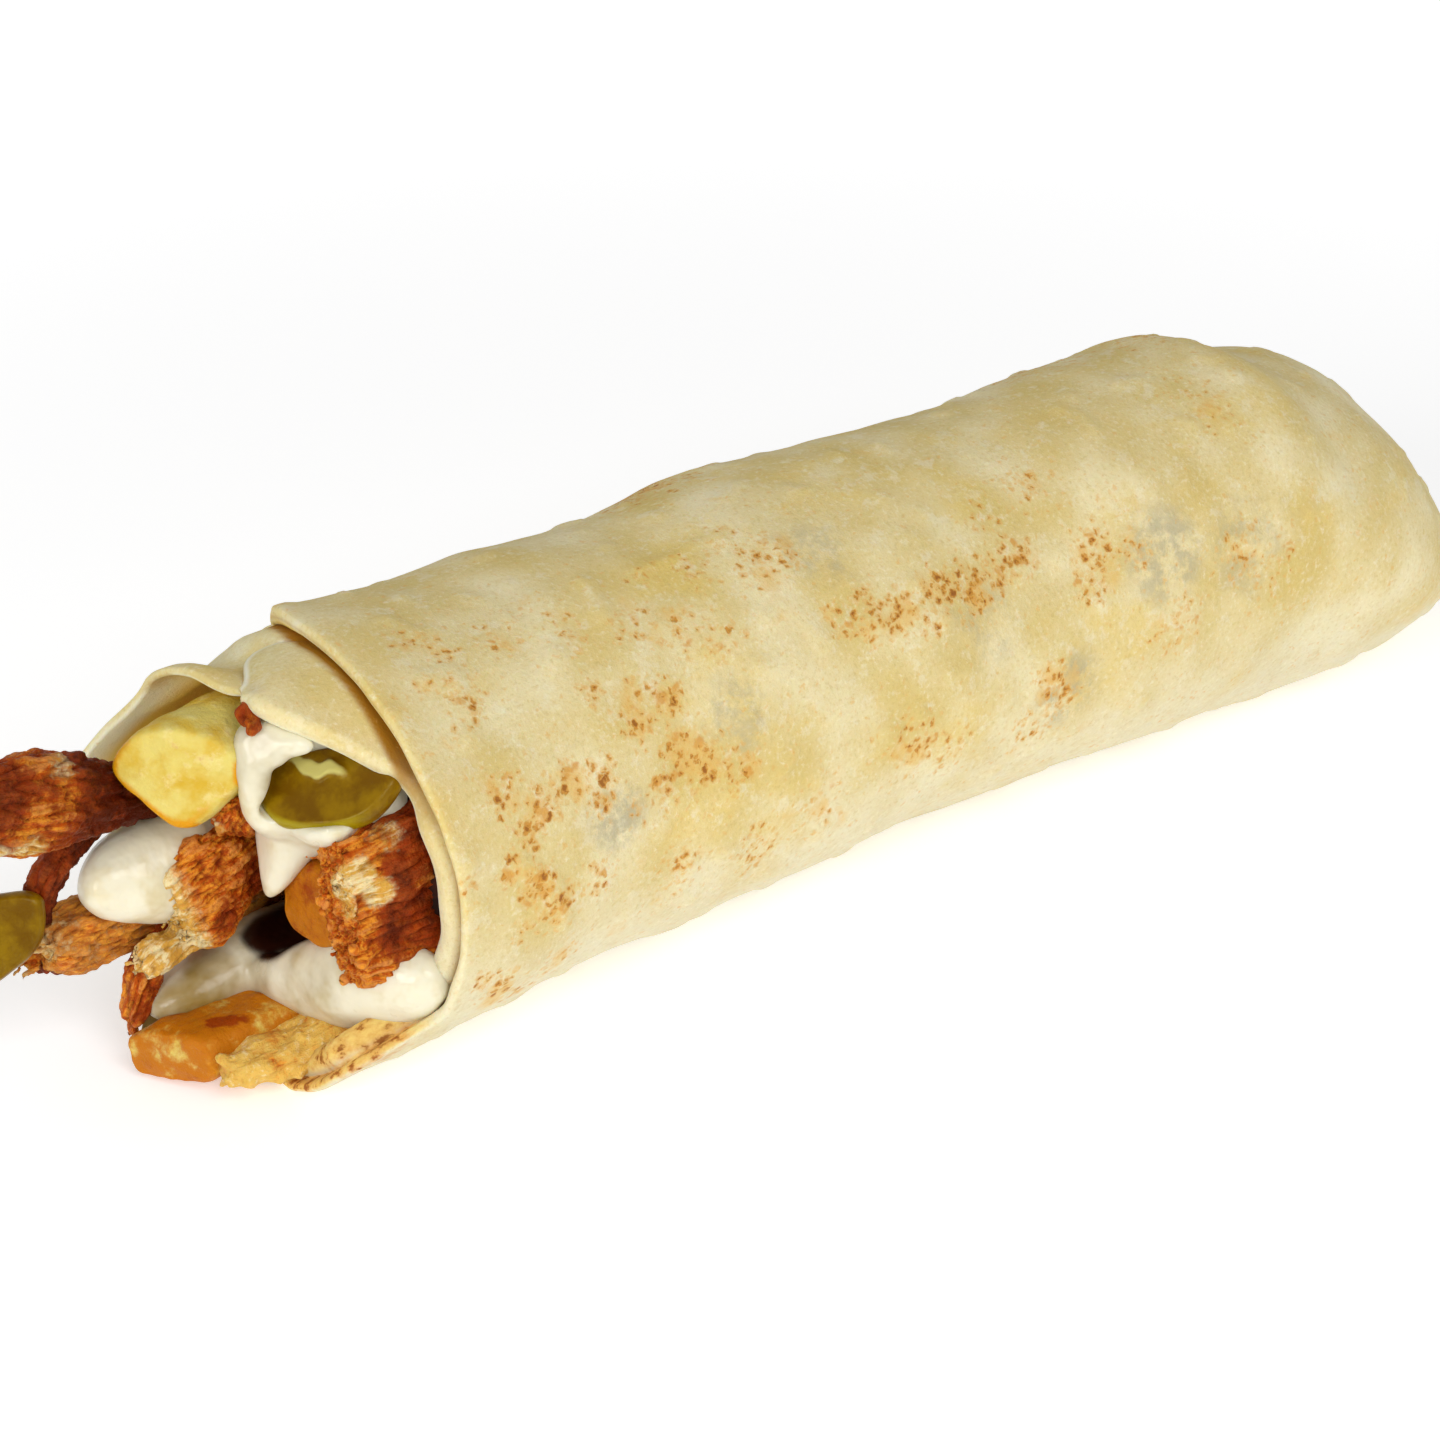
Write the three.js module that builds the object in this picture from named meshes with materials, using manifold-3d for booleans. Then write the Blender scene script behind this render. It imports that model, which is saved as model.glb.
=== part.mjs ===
// A saj wrap lying on its side: thin flatbread rolled round strips of grilled chicken, thick fries,
// pickles and garlic sauce. The mouth faces -X with the filling pushing out of it, and the far end is
// tucked shut. Millimetres, +Z up. The drawing below has x = 0 at the outer layer's rim and z = 0 at the
// table; the finished group is moved so that the middle of its base is the origin.
import * as THREE from "three";
import { mergeVertices } from "three/addons/utils/BufferGeometryUtils.js";
import Module from "manifold-3d";

const wasm = await Module();
wasm.setup();

// Driving sizes
const BREAD = 1.5; // thickness of one layer of flatbread
const WALL = 3.3; // the two layers of the rolled wall
const GAP = 0.35; // clearance kept between touching pieces
const ROLL_END = 201; // tip of the tucked end
const TIP_HEIGHT = 8; // height of the tip of the tucked end
const TUCK_START = 177; // where the tucked end starts to close
const SEAM_AT_MOUTH = 66; // degrees from +Y towards +Z: the free edge of the outer layer
const SEAM_AT_END = 38;
const FILLING_END = 170; // how deep the filling reaches

// The roll's section at places along it: [x, half width, top height, base height, sideways bow]. A base
// below 0 is flattened by the table.
const STATIONS = [
  [0, 27.7, 52.5, -1.2, 0.1],
  [22, 26.5, 51.3, -1.2, 0.5],
  [50, 26.2, 51.2, -1.2, 1.5],
  [75, 26.9, 52.4, -1.2, 1.9],
  [102, 26.3, 51.2, -1.2, 1.3],
  [125, 27, 52.4, -1.2, -0.2],
  [147, 28, 53.6, -1.2, 0],
  [153, 28.2, 52.2, -1.2, 0],
  [160, 28.2, 48.6, -1.2, 0],
  [169, 27.4, 45.2, -1.2, 0],
  [TUCK_START, 25.8, 40.6, -1.2, 0],
  [184, 23.4, 34, -1, 0],
  [189, 20.8, 28.4, -0.2, 0],
  [193.5, 17.4, 22.6, 0.8, 0],
  [197.5, 13, 16.8, 2.6, 0],
  [200, 8, 12, 5, 0],
];

// Small helpers

const radians = THREE.MathUtils.degToRad;
const v3 = (x, y, z) => new THREE.Vector3(x, y, z);

// A smooth 0 to 1 ramp between two values.
const ramp = (from, to, value) => THREE.MathUtils.smoothstep(value, from, to);

// A smooth bump of height 1 at middle that is 0 beyond halfWidth.
const bump = (middle, halfWidth, value) =>
  1 - ramp(0, halfWidth, Math.abs(value - middle));

// Reads column of a table of rows sorted by their first value, with eased steps between the rows.
function lookUp(table, at, column) {
  const last = table.length - 1;
  if (at <= table[0][0]) return table[0][column];
  if (at >= table[last][0]) return table[last][column];
  const i = table.findIndex((row) => row[0] > at) - 1;
  const span = table[i + 1][0] - table[i][0];
  const slopeAt = (k) => {
    const a = table[Math.max(k - 1, 0)];
    const b = table[Math.min(k + 1, last)];
    return (b[column] - a[column]) / (b[0] - a[0]);
  };
  const t = (at - table[i][0]) / span;
  const rise = table[i + 1][column] - table[i][column];
  const inSlope = slopeAt(i) * span;
  const outSlope = slopeAt(i + 1) * span;
  return (
    table[i][column] +
    inSlope * t +
    (3 * rise - 2 * inSlope - outSlope) * t * t +
    (inSlope + outSlope - 2 * rise) * t * t * t
  );
}

// A repeatable uneven wave between -1 and 1 of two values: no draw is random.
const uneven = (seed, a, b) =>
  (Math.sin(a + seed * 1.7) +
    Math.sin(b * 1.3 - a * 0.7 + seed * 2.9) +
    Math.sin(a * 1.9 + b * 0.6 + seed * 4.3)) /
  3;

// Solids

// A closed solid from rings of equally many points, each a list of Vector3, capped by two middle points.
function solidFromRings(rings, startMiddle, endMiddle) {
  const sides = rings[0].length;
  const points = [startMiddle, ...rings.flat(), endMiddle];
  const index = [];
  const at = (ring, side) => 1 + ring * sides + (side % sides);
  for (let side = 0; side < sides; side++) {
    index.push(0, at(0, side + 1), at(0, side));
    for (let ring = 0; ring + 1 < rings.length; ring++) {
      index.push(at(ring, side), at(ring, side + 1), at(ring + 1, side + 1));
      index.push(at(ring, side), at(ring + 1, side + 1), at(ring + 1, side));
    }
    index.push(
      at(rings.length - 1, side),
      at(rings.length - 1, side + 1),
      points.length - 1,
    );
  }
  return toSolid(points, index);
}

// A closed solid between two surfaces given as functions of u and v from 0 to 1.
function slab(top, bottom, uSteps, vSteps) {
  const points = [];
  for (const face of [top, bottom])
    for (let i = 0; i <= uSteps; i++)
      for (let j = 0; j <= vSteps; j++) points.push(face(i / uSteps, j / vSteps));
  const across = vSteps + 1;
  const lower = (uSteps + 1) * across;
  const at = (i, j) => i * across + j;
  const index = [];
  const quad = (a, b, c, d) => index.push(a, b, c, a, c, d);
  for (let i = 0; i < uSteps; i++)
    for (let j = 0; j < vSteps; j++) {
      quad(at(i, j), at(i + 1, j), at(i + 1, j + 1), at(i, j + 1));
      quad(
        lower + at(i, j),
        lower + at(i, j + 1),
        lower + at(i + 1, j + 1),
        lower + at(i + 1, j),
      );
    }
  const wallBetween = (a, b) => quad(b, a, lower + a, lower + b);
  for (let i = 0; i < uSteps; i++) {
    wallBetween(at(i, 0), at(i + 1, 0));
    wallBetween(at(i + 1, vSteps), at(i, vSteps));
  }
  for (let j = 0; j < vSteps; j++) {
    wallBetween(at(0, j + 1), at(0, j));
    wallBetween(at(uSteps, j), at(uSteps, j + 1));
  }
  return toSolid(points, index);
}

// Turns points and triangles into a solid, facing out whichever way they were listed.
function toSolid(points, index) {
  const raw = new THREE.BufferGeometry().setFromPoints(points).setIndex(index);
  const merged = mergeVertices(raw, 1e-4);
  const triVerts = new Uint32Array(merged.index.array);
  const vertProperties = merged.attributes.position.array;
  const make = () =>
    new wasm.Manifold(new wasm.Mesh({ numProp: 3, vertProperties, triVerts }));
  const made = make();
  if (made.volume() > 0) return made;
  for (let i = 0; i < triVerts.length; i += 3)
    [triVerts[i + 1], triVerts[i + 2]] = [triVerts[i + 2], triVerts[i + 1]];
  return make();
}

// The largest single body of a solid, so that a loose scrap left by a cut is dropped.
function largestBody(solid) {
  const bodies = solid.decompose();
  return bodies.reduce((a, b) => (b.volume() > a.volume() ? b : a));
}

// Rounds an ellipse towards a box as power grows above 2: the reach at an angle for half sizes of 1.
const squareness = (angle, power) =>
  (Math.abs(Math.cos(angle)) ** power + Math.abs(Math.sin(angle)) ** power) **
  (-1 / power);

// A loft along a curve of three points. reach(t, angle) gives the share of the half width and half
// thickness at t from 0 to 1 along it, and shift(t, angle) how far a point is moved along the curve.
// grow pushes the whole skin out.
function loft({ tail, bend, front, width, thick, roll = 0, rings, sides, reach, shift, grow }) {
  const spine = new THREE.QuadraticBezierCurve3(tail, bend, front);
  const frameAt = (t) => {
    const along = spine.getTangent(t);
    const side = v3(0, 0, 1).cross(along).normalize();
    const up = along.clone().cross(side).normalize();
    return [
      spine.getPoint(t),
      along,
      side.applyAxisAngle(along, radians(roll)),
      up.applyAxisAngle(along, radians(roll)),
    ];
  };
  const endGrowth = (t) => grow * (ramp(0.9, 1, t) - ramp(0.9, 1, 1 - t));
  const made = rings.map((t) => {
    const [middle, along, side, up] = frameAt(t);
    return Array.from({ length: sides }, (_, k) => {
      const angle = (k / sides) * 2 * Math.PI;
      const share = reach(t, angle);
      const moved = endGrowth(t) + (shift ? shift(t, angle) : 0);
      return middle
        .clone()
        .addScaledVector(side, Math.cos(angle) * ((width / 2) * share + grow))
        .addScaledVector(up, Math.sin(angle) * ((thick / 2) * share + grow))
        .addScaledVector(along, moved);
    });
  });
  const [start, end] = [rings[0], rings[rings.length - 1]].map((t) => {
    const [middle, along] = frameAt(t);
    return middle.clone().addScaledVector(along, endGrowth(t));
  });
  return solidFromRings(made, start, end);
}

const evenly = (count) => Array.from({ length: count }, (_, i) => i / (count - 1));

// Flatbread

// The skin of the rolled bread at x and an angle in degrees from +Y towards +Z, as deep as inset below
// the outside. stepped is 1 where the free edge of the outer layer shows as a step and 0 inside the roll.
function rollSkin(x, angle, inset = 0, stepped = 1) {
  const [halfWidth, top, base, bow] = [1, 2, 3, 4].map((i) => lookUp(STATIONS, x, i));
  const closing = ramp(TUCK_START, ROLL_END, x);
  const seam = THREE.MathUtils.lerp(SEAM_AT_MOUTH, SEAM_AT_END, x / ROLL_END);
  const turned = ((((angle - seam) % 360) + 360) % 360) / 360;
  const spiral = stepped * BREAD * (0.5 - turned) * (1 - closing);
  const rad = radians(angle);
  const fillingBumps = 0.55 * uneven(1, x / 9, rad * 3) * (1 - closing);
  const corner = stepped * 0.9 * bump(0, 11, x) * bump(SEAM_AT_MOUTH + 4, 30, angle);
  const grow = spiral + fillingBumps + corner - inset;
  const middle = (top + base) / 2;
  return v3(
    x,
    bow + (halfWidth + grow) * Math.cos(rad),
    Math.max(inset, middle + ((top - base) / 2 + grow) * Math.sin(rad)),
  );
}

// How far the outer layer's rim stands from x = 0: level round the top, with a lip along the table.
const outerRim = (angle) =>
  1.6 * bump(SEAM_AT_MOUTH, 34, angle) + 5 * bump(30, 60, angle) - 12 * bump(256, 62, angle);

// The outer layer with the tucked end, and the hollow that the filling lies in. grow fills the hollow
// evenly, to cut a neighbour clear of the bread.
function roll(grow = 0) {
  const sides = 44;
  const outerRows = [
    0, 3, 9, 20, 36, 54, 72, 90, 107, 124, 139, 148, 156, 163, 170, TUCK_START, 184, 189,
    193.5, 197.5, 200,
  ];
  const innerRows = [0, 3, 9, 70, FILLING_END - 14, FILLING_END];
  const ring = (x, inset, stepped) =>
    Array.from({ length: sides }, (_, k) => {
      const seam = THREE.MathUtils.lerp(SEAM_AT_MOUTH, SEAM_AT_END, x / ROLL_END);
      const angle = seam + (360 * k) / (sides - 0.8);
      const shift = outerRim(((angle + 30) % 360) - 30) * (1 - ramp(0, 26, x));
      const point = rollSkin(x, angle, inset, stepped);
      point.x += shift - (x === 0 ? grow : 0);
      return point;
    });
  const hollow = innerRows.map((x) =>
    ring(
      x,
      THREE.MathUtils.lerp(BREAD, WALL, ramp(0, 9, x)) +
        12 * ramp(FILLING_END - 14, FILLING_END + 4, x) +
        grow,
      0,
    ),
  );
  const outside = outerRows.map((x) => ring(x, 0, 1)).reverse();
  return solidFromRings(
    [...outside, ...hollow],
    v3(ROLL_END, 0, TIP_HEIGHT),
    v3(FILLING_END, 0, 22),
  );
}

// A sheet of the inner turn of bread between two angles. reach(angle) is where its rim stands, and
// tuck(angle) how far below the outer skin it lies at its rim.
function innerSheet({ from, to, reach, tuck, root, grow, uSteps, vSteps }) {
  const point = (inset) => (u, v) => {
    const angle = THREE.MathUtils.lerp(from - grow * 2, to + grow * 2, u);
    const rim = reach(angle) - grow;
    const x = THREE.MathUtils.lerp(root + grow, rim, v);
    const below = THREE.MathUtils.lerp(BREAD + 0.9, tuck(angle), ramp(0.3, 1, v));
    const flat = rollSkin(Math.max(x, 0), angle, below + inset, 0);
    flat.x = x;
    return flat;
  };
  return slab(point(-grow), point(BREAD + grow), uSteps, vSteps);
}

// The inner turn from the top round the front, where its tapered rim shows as a pale crescent.
const collar = (grow = 0) =>
  innerSheet({
    from: 80,
    to: 262,
    reach: (angle) => -10 + 10.2 * ramp(92, 152, angle) - 8.5 * bump(244, 46, angle),
    tuck: (angle) => 4.0 - 1.9 * ramp(200, 238, angle),
    root: 12,
    grow,
    uSteps: 26,
    vSteps: 4,
  });

// The end of the same turn, which pushes out over the top and back of the filling.
const lip = (grow = 0) =>
  innerSheet({
    from: -42,
    to: 92,
    reach: (angle) => 2 - 15.5 * bump(58, 100, angle) - 13.5 * bump(12, 42, angle),
    tuck: (angle) => 3 + 1.4 * bump(20, 60, angle),
    root: 12,
    grow,
    uSteps: 22,
    vSteps: 5,
  });

const bread = (grow = 0) => roll(grow).add(collar(grow)).add(lip(grow));

// Filling

// A torn strip of grilled chicken: fibre ridges run along it and its front end is ragged. taper is how
// much of its section is left at the front, and inner how much inside the roll.
function chickenStrip({ seed, ragged = 2.2, taper = 0.7, inner = 1, ...place }, grow = 0) {
  return loft({
    ...place,
    grow,
    rings: [0, 0.3, 0.55, 0.7, 0.8, 0.88, 0.95, 1],
    sides: 12,
    reach: (t, angle) => {
      const fibres = 1 + 0.06 * Math.sin(angle * 5 + seed);
      const lumps = 1 + 0.13 * uneven(seed, t * 9, angle * 2);
      const front = 1 - (1 - taper) * ramp(0.82, 1, t);
      const back = THREE.MathUtils.lerp(inner, 1, ramp(0.4, 0.8, t));
      const start = 0.6 + 0.4 * ramp(0, 0.3, t);
      return squareness(angle, 2.7) * fibres * lumps * front * back * start;
    },
    shift: (t, angle) => ragged * uneven(seed + 3, angle * 4, angle * 7) * ramp(0.8, 1, t),
  });
}

// A thick fry: a rounded square stick with softened ends.
function fry({ seed, square = 4.5, ...place }, grow = 0) {
  const soft = 2.6 / place.tail.distanceTo(place.front);
  return loft({
    ...place,
    grow,
    rings: [0, soft, 0.35, 0.7, 1 - soft, 1 - soft * 0.3, 1],
    sides: 16,
    reach: (t, angle) => {
      const fromEnd = Math.min(1, Math.min(t, 1 - t) / soft);
      const ends = 0.9 + 0.1 * Math.sqrt(1 - (1 - fromEnd) ** 2);
      const lumps = 1 + 0.04 * uneven(seed, t * 6, angle * 2);
      return squareness(angle, square) * ends * lumps;
    },
  });
}

// A round or oval pickle slice, slightly cupped, with a softened edge. facing is its face's normal.
function pickleSlice({ middle, facing, spin, long, short, thick, cup }, grow = 0) {
  const turn = new THREE.Quaternion()
    .setFromUnitVectors(v3(0, 0, 1), facing.clone().normalize())
    .multiply(new THREE.Quaternion().setFromAxisAngle(v3(0, 0, 1), radians(spin)));
  const place = (x, y, z) => v3(x, y, z).applyQuaternion(turn).add(middle);
  const half = thick / 2 + grow;
  const ring = (share, height) =>
    Array.from({ length: 20 }, (_, k) => {
      const angle = (k / 20) * 2 * Math.PI;
      const wave = 1 + 0.03 * Math.sin(angle * 5);
      return place(
        Math.cos(angle) * (long / 2 + grow) * share * wave,
        Math.sin(angle) * (short / 2 + grow) * share * wave,
        height + cup * share * share,
      );
    });
  const rings = [ring(0.5, -half), ring(0.9, -half), ring(1, 0), ring(0.9, half), ring(0.5, half)];
  return solidFromRings(rings, place(0, 0, -half), place(0, 0, half));
}

// A smooth lobe of sauce between two points. point is how much narrower it is at its far end.
function lobe({ from, to, wide, tall, point = 0 }) {
  return loft({
    tail: from,
    bend: from.clone().lerp(to, 0.5),
    front: to,
    width: wide,
    thick: tall,
    grow: 0,
    rings: evenly(8).map((t) => 0.5 - 0.5 * Math.cos(Math.PI * (0.04 + 0.92 * t))),
    sides: 12,
    reach: (t) => Math.sqrt(Math.max(0, 4 * t * (1 - t))) * (1 - point * t * t),
  });
}

const chicken = {
  // the long charred strip that hangs furthest out of the mouth, at its upper left
  chicken_left: {
    tail: v3(32, 13, 24),
    bend: v3(-10, 14.5, 30),
    front: v3(-46, -0.5, 44.6),
    width: 8.5,
    thick: 12,
    inner: 0.5,
    roll: 10,
    seed: 1,
  },
  // the middle piece with torn white fibres at its end
  chicken_middle: {
    tail: v3(32, 3, 28),
    bend: v3(-4, 3, 26.5),
    front: v3(-19.6, 4.2, 21.2),
    width: 8,
    thick: 15.5,
    roll: 0,
    seed: 4,
    ragged: 1.8,
    taper: 0.8,
  },
  // the pale shredded piece at the left, below the smooth sauce drop
  chicken_low: {
    tail: v3(8, 14, 14),
    bend: v3(-14, 12.5, 17),
    front: v3(-35, 8.6, 20),
    width: 7,
    thick: 8.6,
    roll: -12,
    seed: 3,
    ragged: 2.6,
  },
  // the narrow dark shard that points down at the table
  chicken_shard: {
    tail: v3(-13, 10, 18),
    bend: v3(-22, 7, 15.5),
    front: v3(-22, 8.8, 3),
    width: 4.4,
    thick: 3.6,
    roll: 0,
    seed: 5,
    ragged: 0.8,
    taper: 0.25,
  },
  // the big piece against the right of the mouth
  chicken_right: {
    tail: v3(40, -10, 27),
    bend: v3(12, -16.4, 26.5),
    front: v3(-9, -15.4, 25),
    width: 9.5,
    thick: 23,
    roll: 4,
    seed: 6,
    ragged: 2,
    taper: 0.85,
  },
  // the flat torn end that lies on the table in front of the lowest fry
  chicken_bottom: {
    tail: v3(14, -10, 9.5),
    bend: v3(-7, -9.4, 4.8),
    front: v3(-18.8, -4.9, 3.9),
    width: 8.5,
    thick: 5,
    roll: 4,
    seed: 2,
    ragged: 1.6,
  },
};

// The torn fibres that hang from the middle piece's lower corner.
const tuft = {
  tail: v3(-12, 5, 20),
  bend: v3(-19, 5, 16.5),
  front: v3(-24, 5.8, 15.6),
  width: 5,
  thick: 5,
  roll: 0,
  seed: 5,
  ragged: 1.4,
  taper: 0.3,
};

// The torn fibres that join the low piece to the long strip above it.
const strand = {
  tail: v3(-16, 12, 31),
  bend: v3(-31, 9, 29),
  front: v3(-31, 10, 20),
  width: 3.6,
  thick: 4.4,
  roll: 0,
  seed: 8,
  ragged: 0.4,
};

const fries = {
  // the fat fry that stands out of the top of the mouth, on one of its corners
  fry_top: {
    tail: v3(34, 13, 31),
    bend: v3(2, 8.5, 37.5),
    front: v3(-20.6, -1.8, 40.8),
    width: 13.2,
    thick: 13.2,
    square: 6,
    roll: 45,
    seed: 7,
  },
  // the browned fry beside the big chicken piece
  fry_middle: {
    tail: v3(38, 0, 20),
    bend: v3(15, -4, 21),
    front: v3(-6.5, -7, 22.8),
    width: 9.5,
    thick: 10.5,
    roll: 5,
    seed: 8,
  },
  // the flat browned fry that lies on the table under the mouth
  fry_bottom: {
    tail: v3(34, -3, 10),
    bend: v3(4, -1, 6.6),
    front: v3(-23.3, 0.6, 3.6),
    width: 11,
    thick: 6.6,
    roll: 6,
    seed: 9,
  },
};

const pickles = {
  // the slice that lies in the sauce at the top of the mouth
  pickle_top: {
    middle: v3(-6.6, -11.8, 39),
    facing: v3(-0.72, -0.14, 0.68),
    spin: -58,
    long: 18.5,
    short: 10.8,
    thick: 3,
    cup: 0.8,
  },
  // the slice at the far left, seen nearly face on
  pickle_left: {
    middle: v3(-40, 9.6, 22.6),
    facing: v3(-0.45, -0.8, 0.35),
    spin: 0,
    long: 17,
    short: 9.6,
    thick: 3.2,
    cup: 0.6,
  },
  // the slice between the lowest fry and the shaded sauce, of which only the tip shows
  pickle_tip: {
    middle: v3(-16, 8.4, 5),
    facing: v3(-0.5, 0.1, 0.85),
    spin: 0,
    long: 11,
    short: 7,
    thick: 2.4,
    cup: 0.4,
  },
};

// A strip with the torn fibres that hang on to it.
const hangingOn = { chicken_middle: tuft, chicken_low: strand };
const chickenPiece = (name, sizes, grow) =>
  hangingOn[name]
    ? chickenStrip(sizes, grow).add(chickenStrip(hangingOn[name], grow))
    : chickenStrip(sizes, grow);

// The garlic sauce fills the roll between the other pieces and swells out of the mouth in lobes.
function garlicSauce() {
  const sides = 32;
  const inset = WALL + 2.4 * GAP;
  const rows = [FILLING_END - 15, 140, 105, 70, 38, 15];
  const ring = (x, more) =>
    Array.from({ length: sides }, (_, k) =>
      rollSkin(x, (360 * k) / sides, inset + more, 0),
    );
  const core = solidFromRings(
    [...rows.map((x) => ring(x, 0)), ring(4, 1.5), ring(1.5, 5)],
    v3(FILLING_END - 15, 0, 24),
    v3(1, 0, 24),
  );
  const lobes = [
    // round the pickle at the top, ending in a point that hangs between the pieces
    { from: v3(12, -6, 34), to: v3(-9.5, -4.5, 36.5), wide: 22, tall: 17 },
    { from: v3(0, -4, 36), to: v3(-13.5, -6.2, 39.5), wide: 9, tall: 13 },
    { from: v3(2, -4, 38), to: v3(-8.5, -1.2, 20.5), wide: 9, tall: 8, point: 0.5 },
    // the smooth drop at the left
    { from: v3(6, 11, 23), to: v3(-28, 6, 26.2), wide: 13.5, tall: 14.4 },
    // the broad dollop at the lower right
    { from: v3(1, -24, 17), to: v3(-11.5, 4.4, 9.6), wide: 11, tall: 11.6 },
    { from: v3(12, -8, 12), to: v3(-9, -10, 12), wide: 18, tall: 10 },
    // the shaded lobe behind the lowest pieces
    { from: v3(6, 7, 12), to: v3(-21, 7, 7), wide: 11, tall: 8 },
    // a scrap stuck on the sauce under the fold
    { from: v3(-4, -2.5, 47), to: v3(-10, 1, 41.5), wide: 2.6, tall: 2.2 },
  ];
  const shape = lobes.reduce((whole, each) => whole.add(lobe(each)), core);
  const hole = lobe({ from: v3(22, -3, 18), to: v3(-11, 3, 13.6), wide: 13, tall: 10 });
  return shape.subtract(hole);
}

// Assembly

// Every piece in the order in which it keeps its shape: each is cut clear of those before it.
const pieces = [{ name: "flatbread", make: bread, colour: 0xdecd9b, roughness: 0.75 }];
for (const [name, sizes] of Object.entries(fries))
  pieces.push({ name, make: (g) => fry(sizes, g), colour: 0xdcb950, roughness: 0.5 });
for (const [name, sizes] of Object.entries(pickles))
  pieces.push({
    name,
    make: (g) => pickleSlice(sizes, g),
    colour: 0x8a6c10,
    roughness: 0.25,
  });
for (const [name, sizes] of Object.entries(chicken))
  pieces.push({
    name,
    make: (g) => chickenPiece(name, sizes, g),
    colour: 0xa5501a,
    roughness: 0.45,
  });
pieces.push({ name: "garlic_sauce", make: garlicSauce, colour: 0xe4dfcf, roughness: 0.2 });

const wrap = new THREE.Group();
const placed = [];
let cutters = null;
for (const { name, make, colour, roughness } of pieces) {
  const whole = make(0);
  const solid = largestBody(cutters ? whole.subtract(cutters) : whole);
  const grown = name === "garlic_sauce" ? null : make(GAP);
  if (grown) cutters = cutters ? cutters.add(grown) : grown;
  placed.push({ name, solid, colour, roughness });
}

for (const { name, solid, colour, roughness } of placed) {
  const mesh = solid.getMesh();
  const points = new Float32Array(mesh.numVert * 3);
  for (let i = 0; i < mesh.numVert; i++)
    points.set(mesh.vertProperties.subarray(i * mesh.numProp, i * mesh.numProp + 3), i * 3);
  const geometry = new THREE.BufferGeometry()
    .setAttribute("position", new THREE.BufferAttribute(points, 3))
    .setIndex(new THREE.BufferAttribute(mesh.triVerts, 1));
  geometry.computeVertexNormals();
  const material = new THREE.MeshStandardMaterial({ color: colour, roughness, metalness: 0 });
  const node = new THREE.Mesh(geometry, material);
  node.name = name;
  wrap.add(node);
}

// The origin is the middle of the base of the whole object's box.
const box = new THREE.Box3().setFromObject(wrap);
wrap.position.set(
  -(box.min.x + box.max.x) / 2,
  -(box.min.y + box.max.y) / 2,
  -box.min.z,
);

export default wrap;
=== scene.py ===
# A saj wrap that lies on a white table: thin flatbread rolled round grilled chicken, thick fries, pickles
# and garlic sauce, open at one end and tucked shut at the other. Each piece is drawn in millimetres, with
# x = 0 at the outer layer's rim, +X to the tucked end and z = 0 at the table, and set_out() then moves it
# into the frame, in metres.
import math
from types import SimpleNamespace

import bmesh
import bpy
import numpy as np
from mathutils import Matrix, Vector, noise


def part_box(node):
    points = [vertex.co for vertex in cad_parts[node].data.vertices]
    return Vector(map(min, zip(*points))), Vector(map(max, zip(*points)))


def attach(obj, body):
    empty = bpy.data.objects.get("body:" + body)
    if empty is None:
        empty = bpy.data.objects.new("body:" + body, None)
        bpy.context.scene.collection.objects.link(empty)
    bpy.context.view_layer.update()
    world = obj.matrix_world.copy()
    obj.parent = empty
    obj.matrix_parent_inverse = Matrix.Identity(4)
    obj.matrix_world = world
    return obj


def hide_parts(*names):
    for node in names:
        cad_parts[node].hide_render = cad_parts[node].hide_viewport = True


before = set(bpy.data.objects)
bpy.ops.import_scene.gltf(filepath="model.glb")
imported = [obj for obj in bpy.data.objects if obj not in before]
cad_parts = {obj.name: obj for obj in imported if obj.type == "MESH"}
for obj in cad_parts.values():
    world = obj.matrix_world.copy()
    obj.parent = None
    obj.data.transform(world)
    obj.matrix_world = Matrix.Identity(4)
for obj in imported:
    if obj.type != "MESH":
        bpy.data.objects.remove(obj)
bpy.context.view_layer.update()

# Driving sizes
MM = 0.001  # a millimetre in the frame's metres
BREAD = 1.5  # thickness of one layer of flatbread
RIM = 1.0  # thickness of the outer layer at its rim
WALL = 3.3  # the two layers of the rolled wall
ROLL_END = 201.0  # tip of the tucked end
TIP_HEIGHT = 8.0
TUCK_START = 177.0  # where the tucked end starts to close
SEAM_AT_MOUTH = 66.0  # degrees from +Y towards +Z: the free edge of the outer layer
SEAM_AT_END = 38.0
COLLAR_END = 84.0  # degrees: the free end of the inner turn
SHEET_ROOT = 12.0  # how far in the sheets of the inner turn start
FILLING_END = 170.0  # how deep the filling reaches
POCKET_MIDDLE = 22.0  # height of the middle of the hollow that the filling lies in, at its end
CORE_MIDDLE = 24.0  # height of the middle of the filling's core
ROUND_ROLL = 26.0  # the radius that turns angles into lengths round the roll
MEAT_GRAIN = 0.28  # the small cubes that the meat, the sauce and the scrap are rebuilt from
SAUCE_GRAIN = 0.4
SCRAP_GRAIN = 0.25
SIDE_SHIFT = 0.1966  # from the drawing to the frame along Y
DRAWING_TO_FRAME = Vector((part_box("flatbread")[1].x / MM - ROLL_END, SIDE_SHIFT, 0.0))

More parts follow.
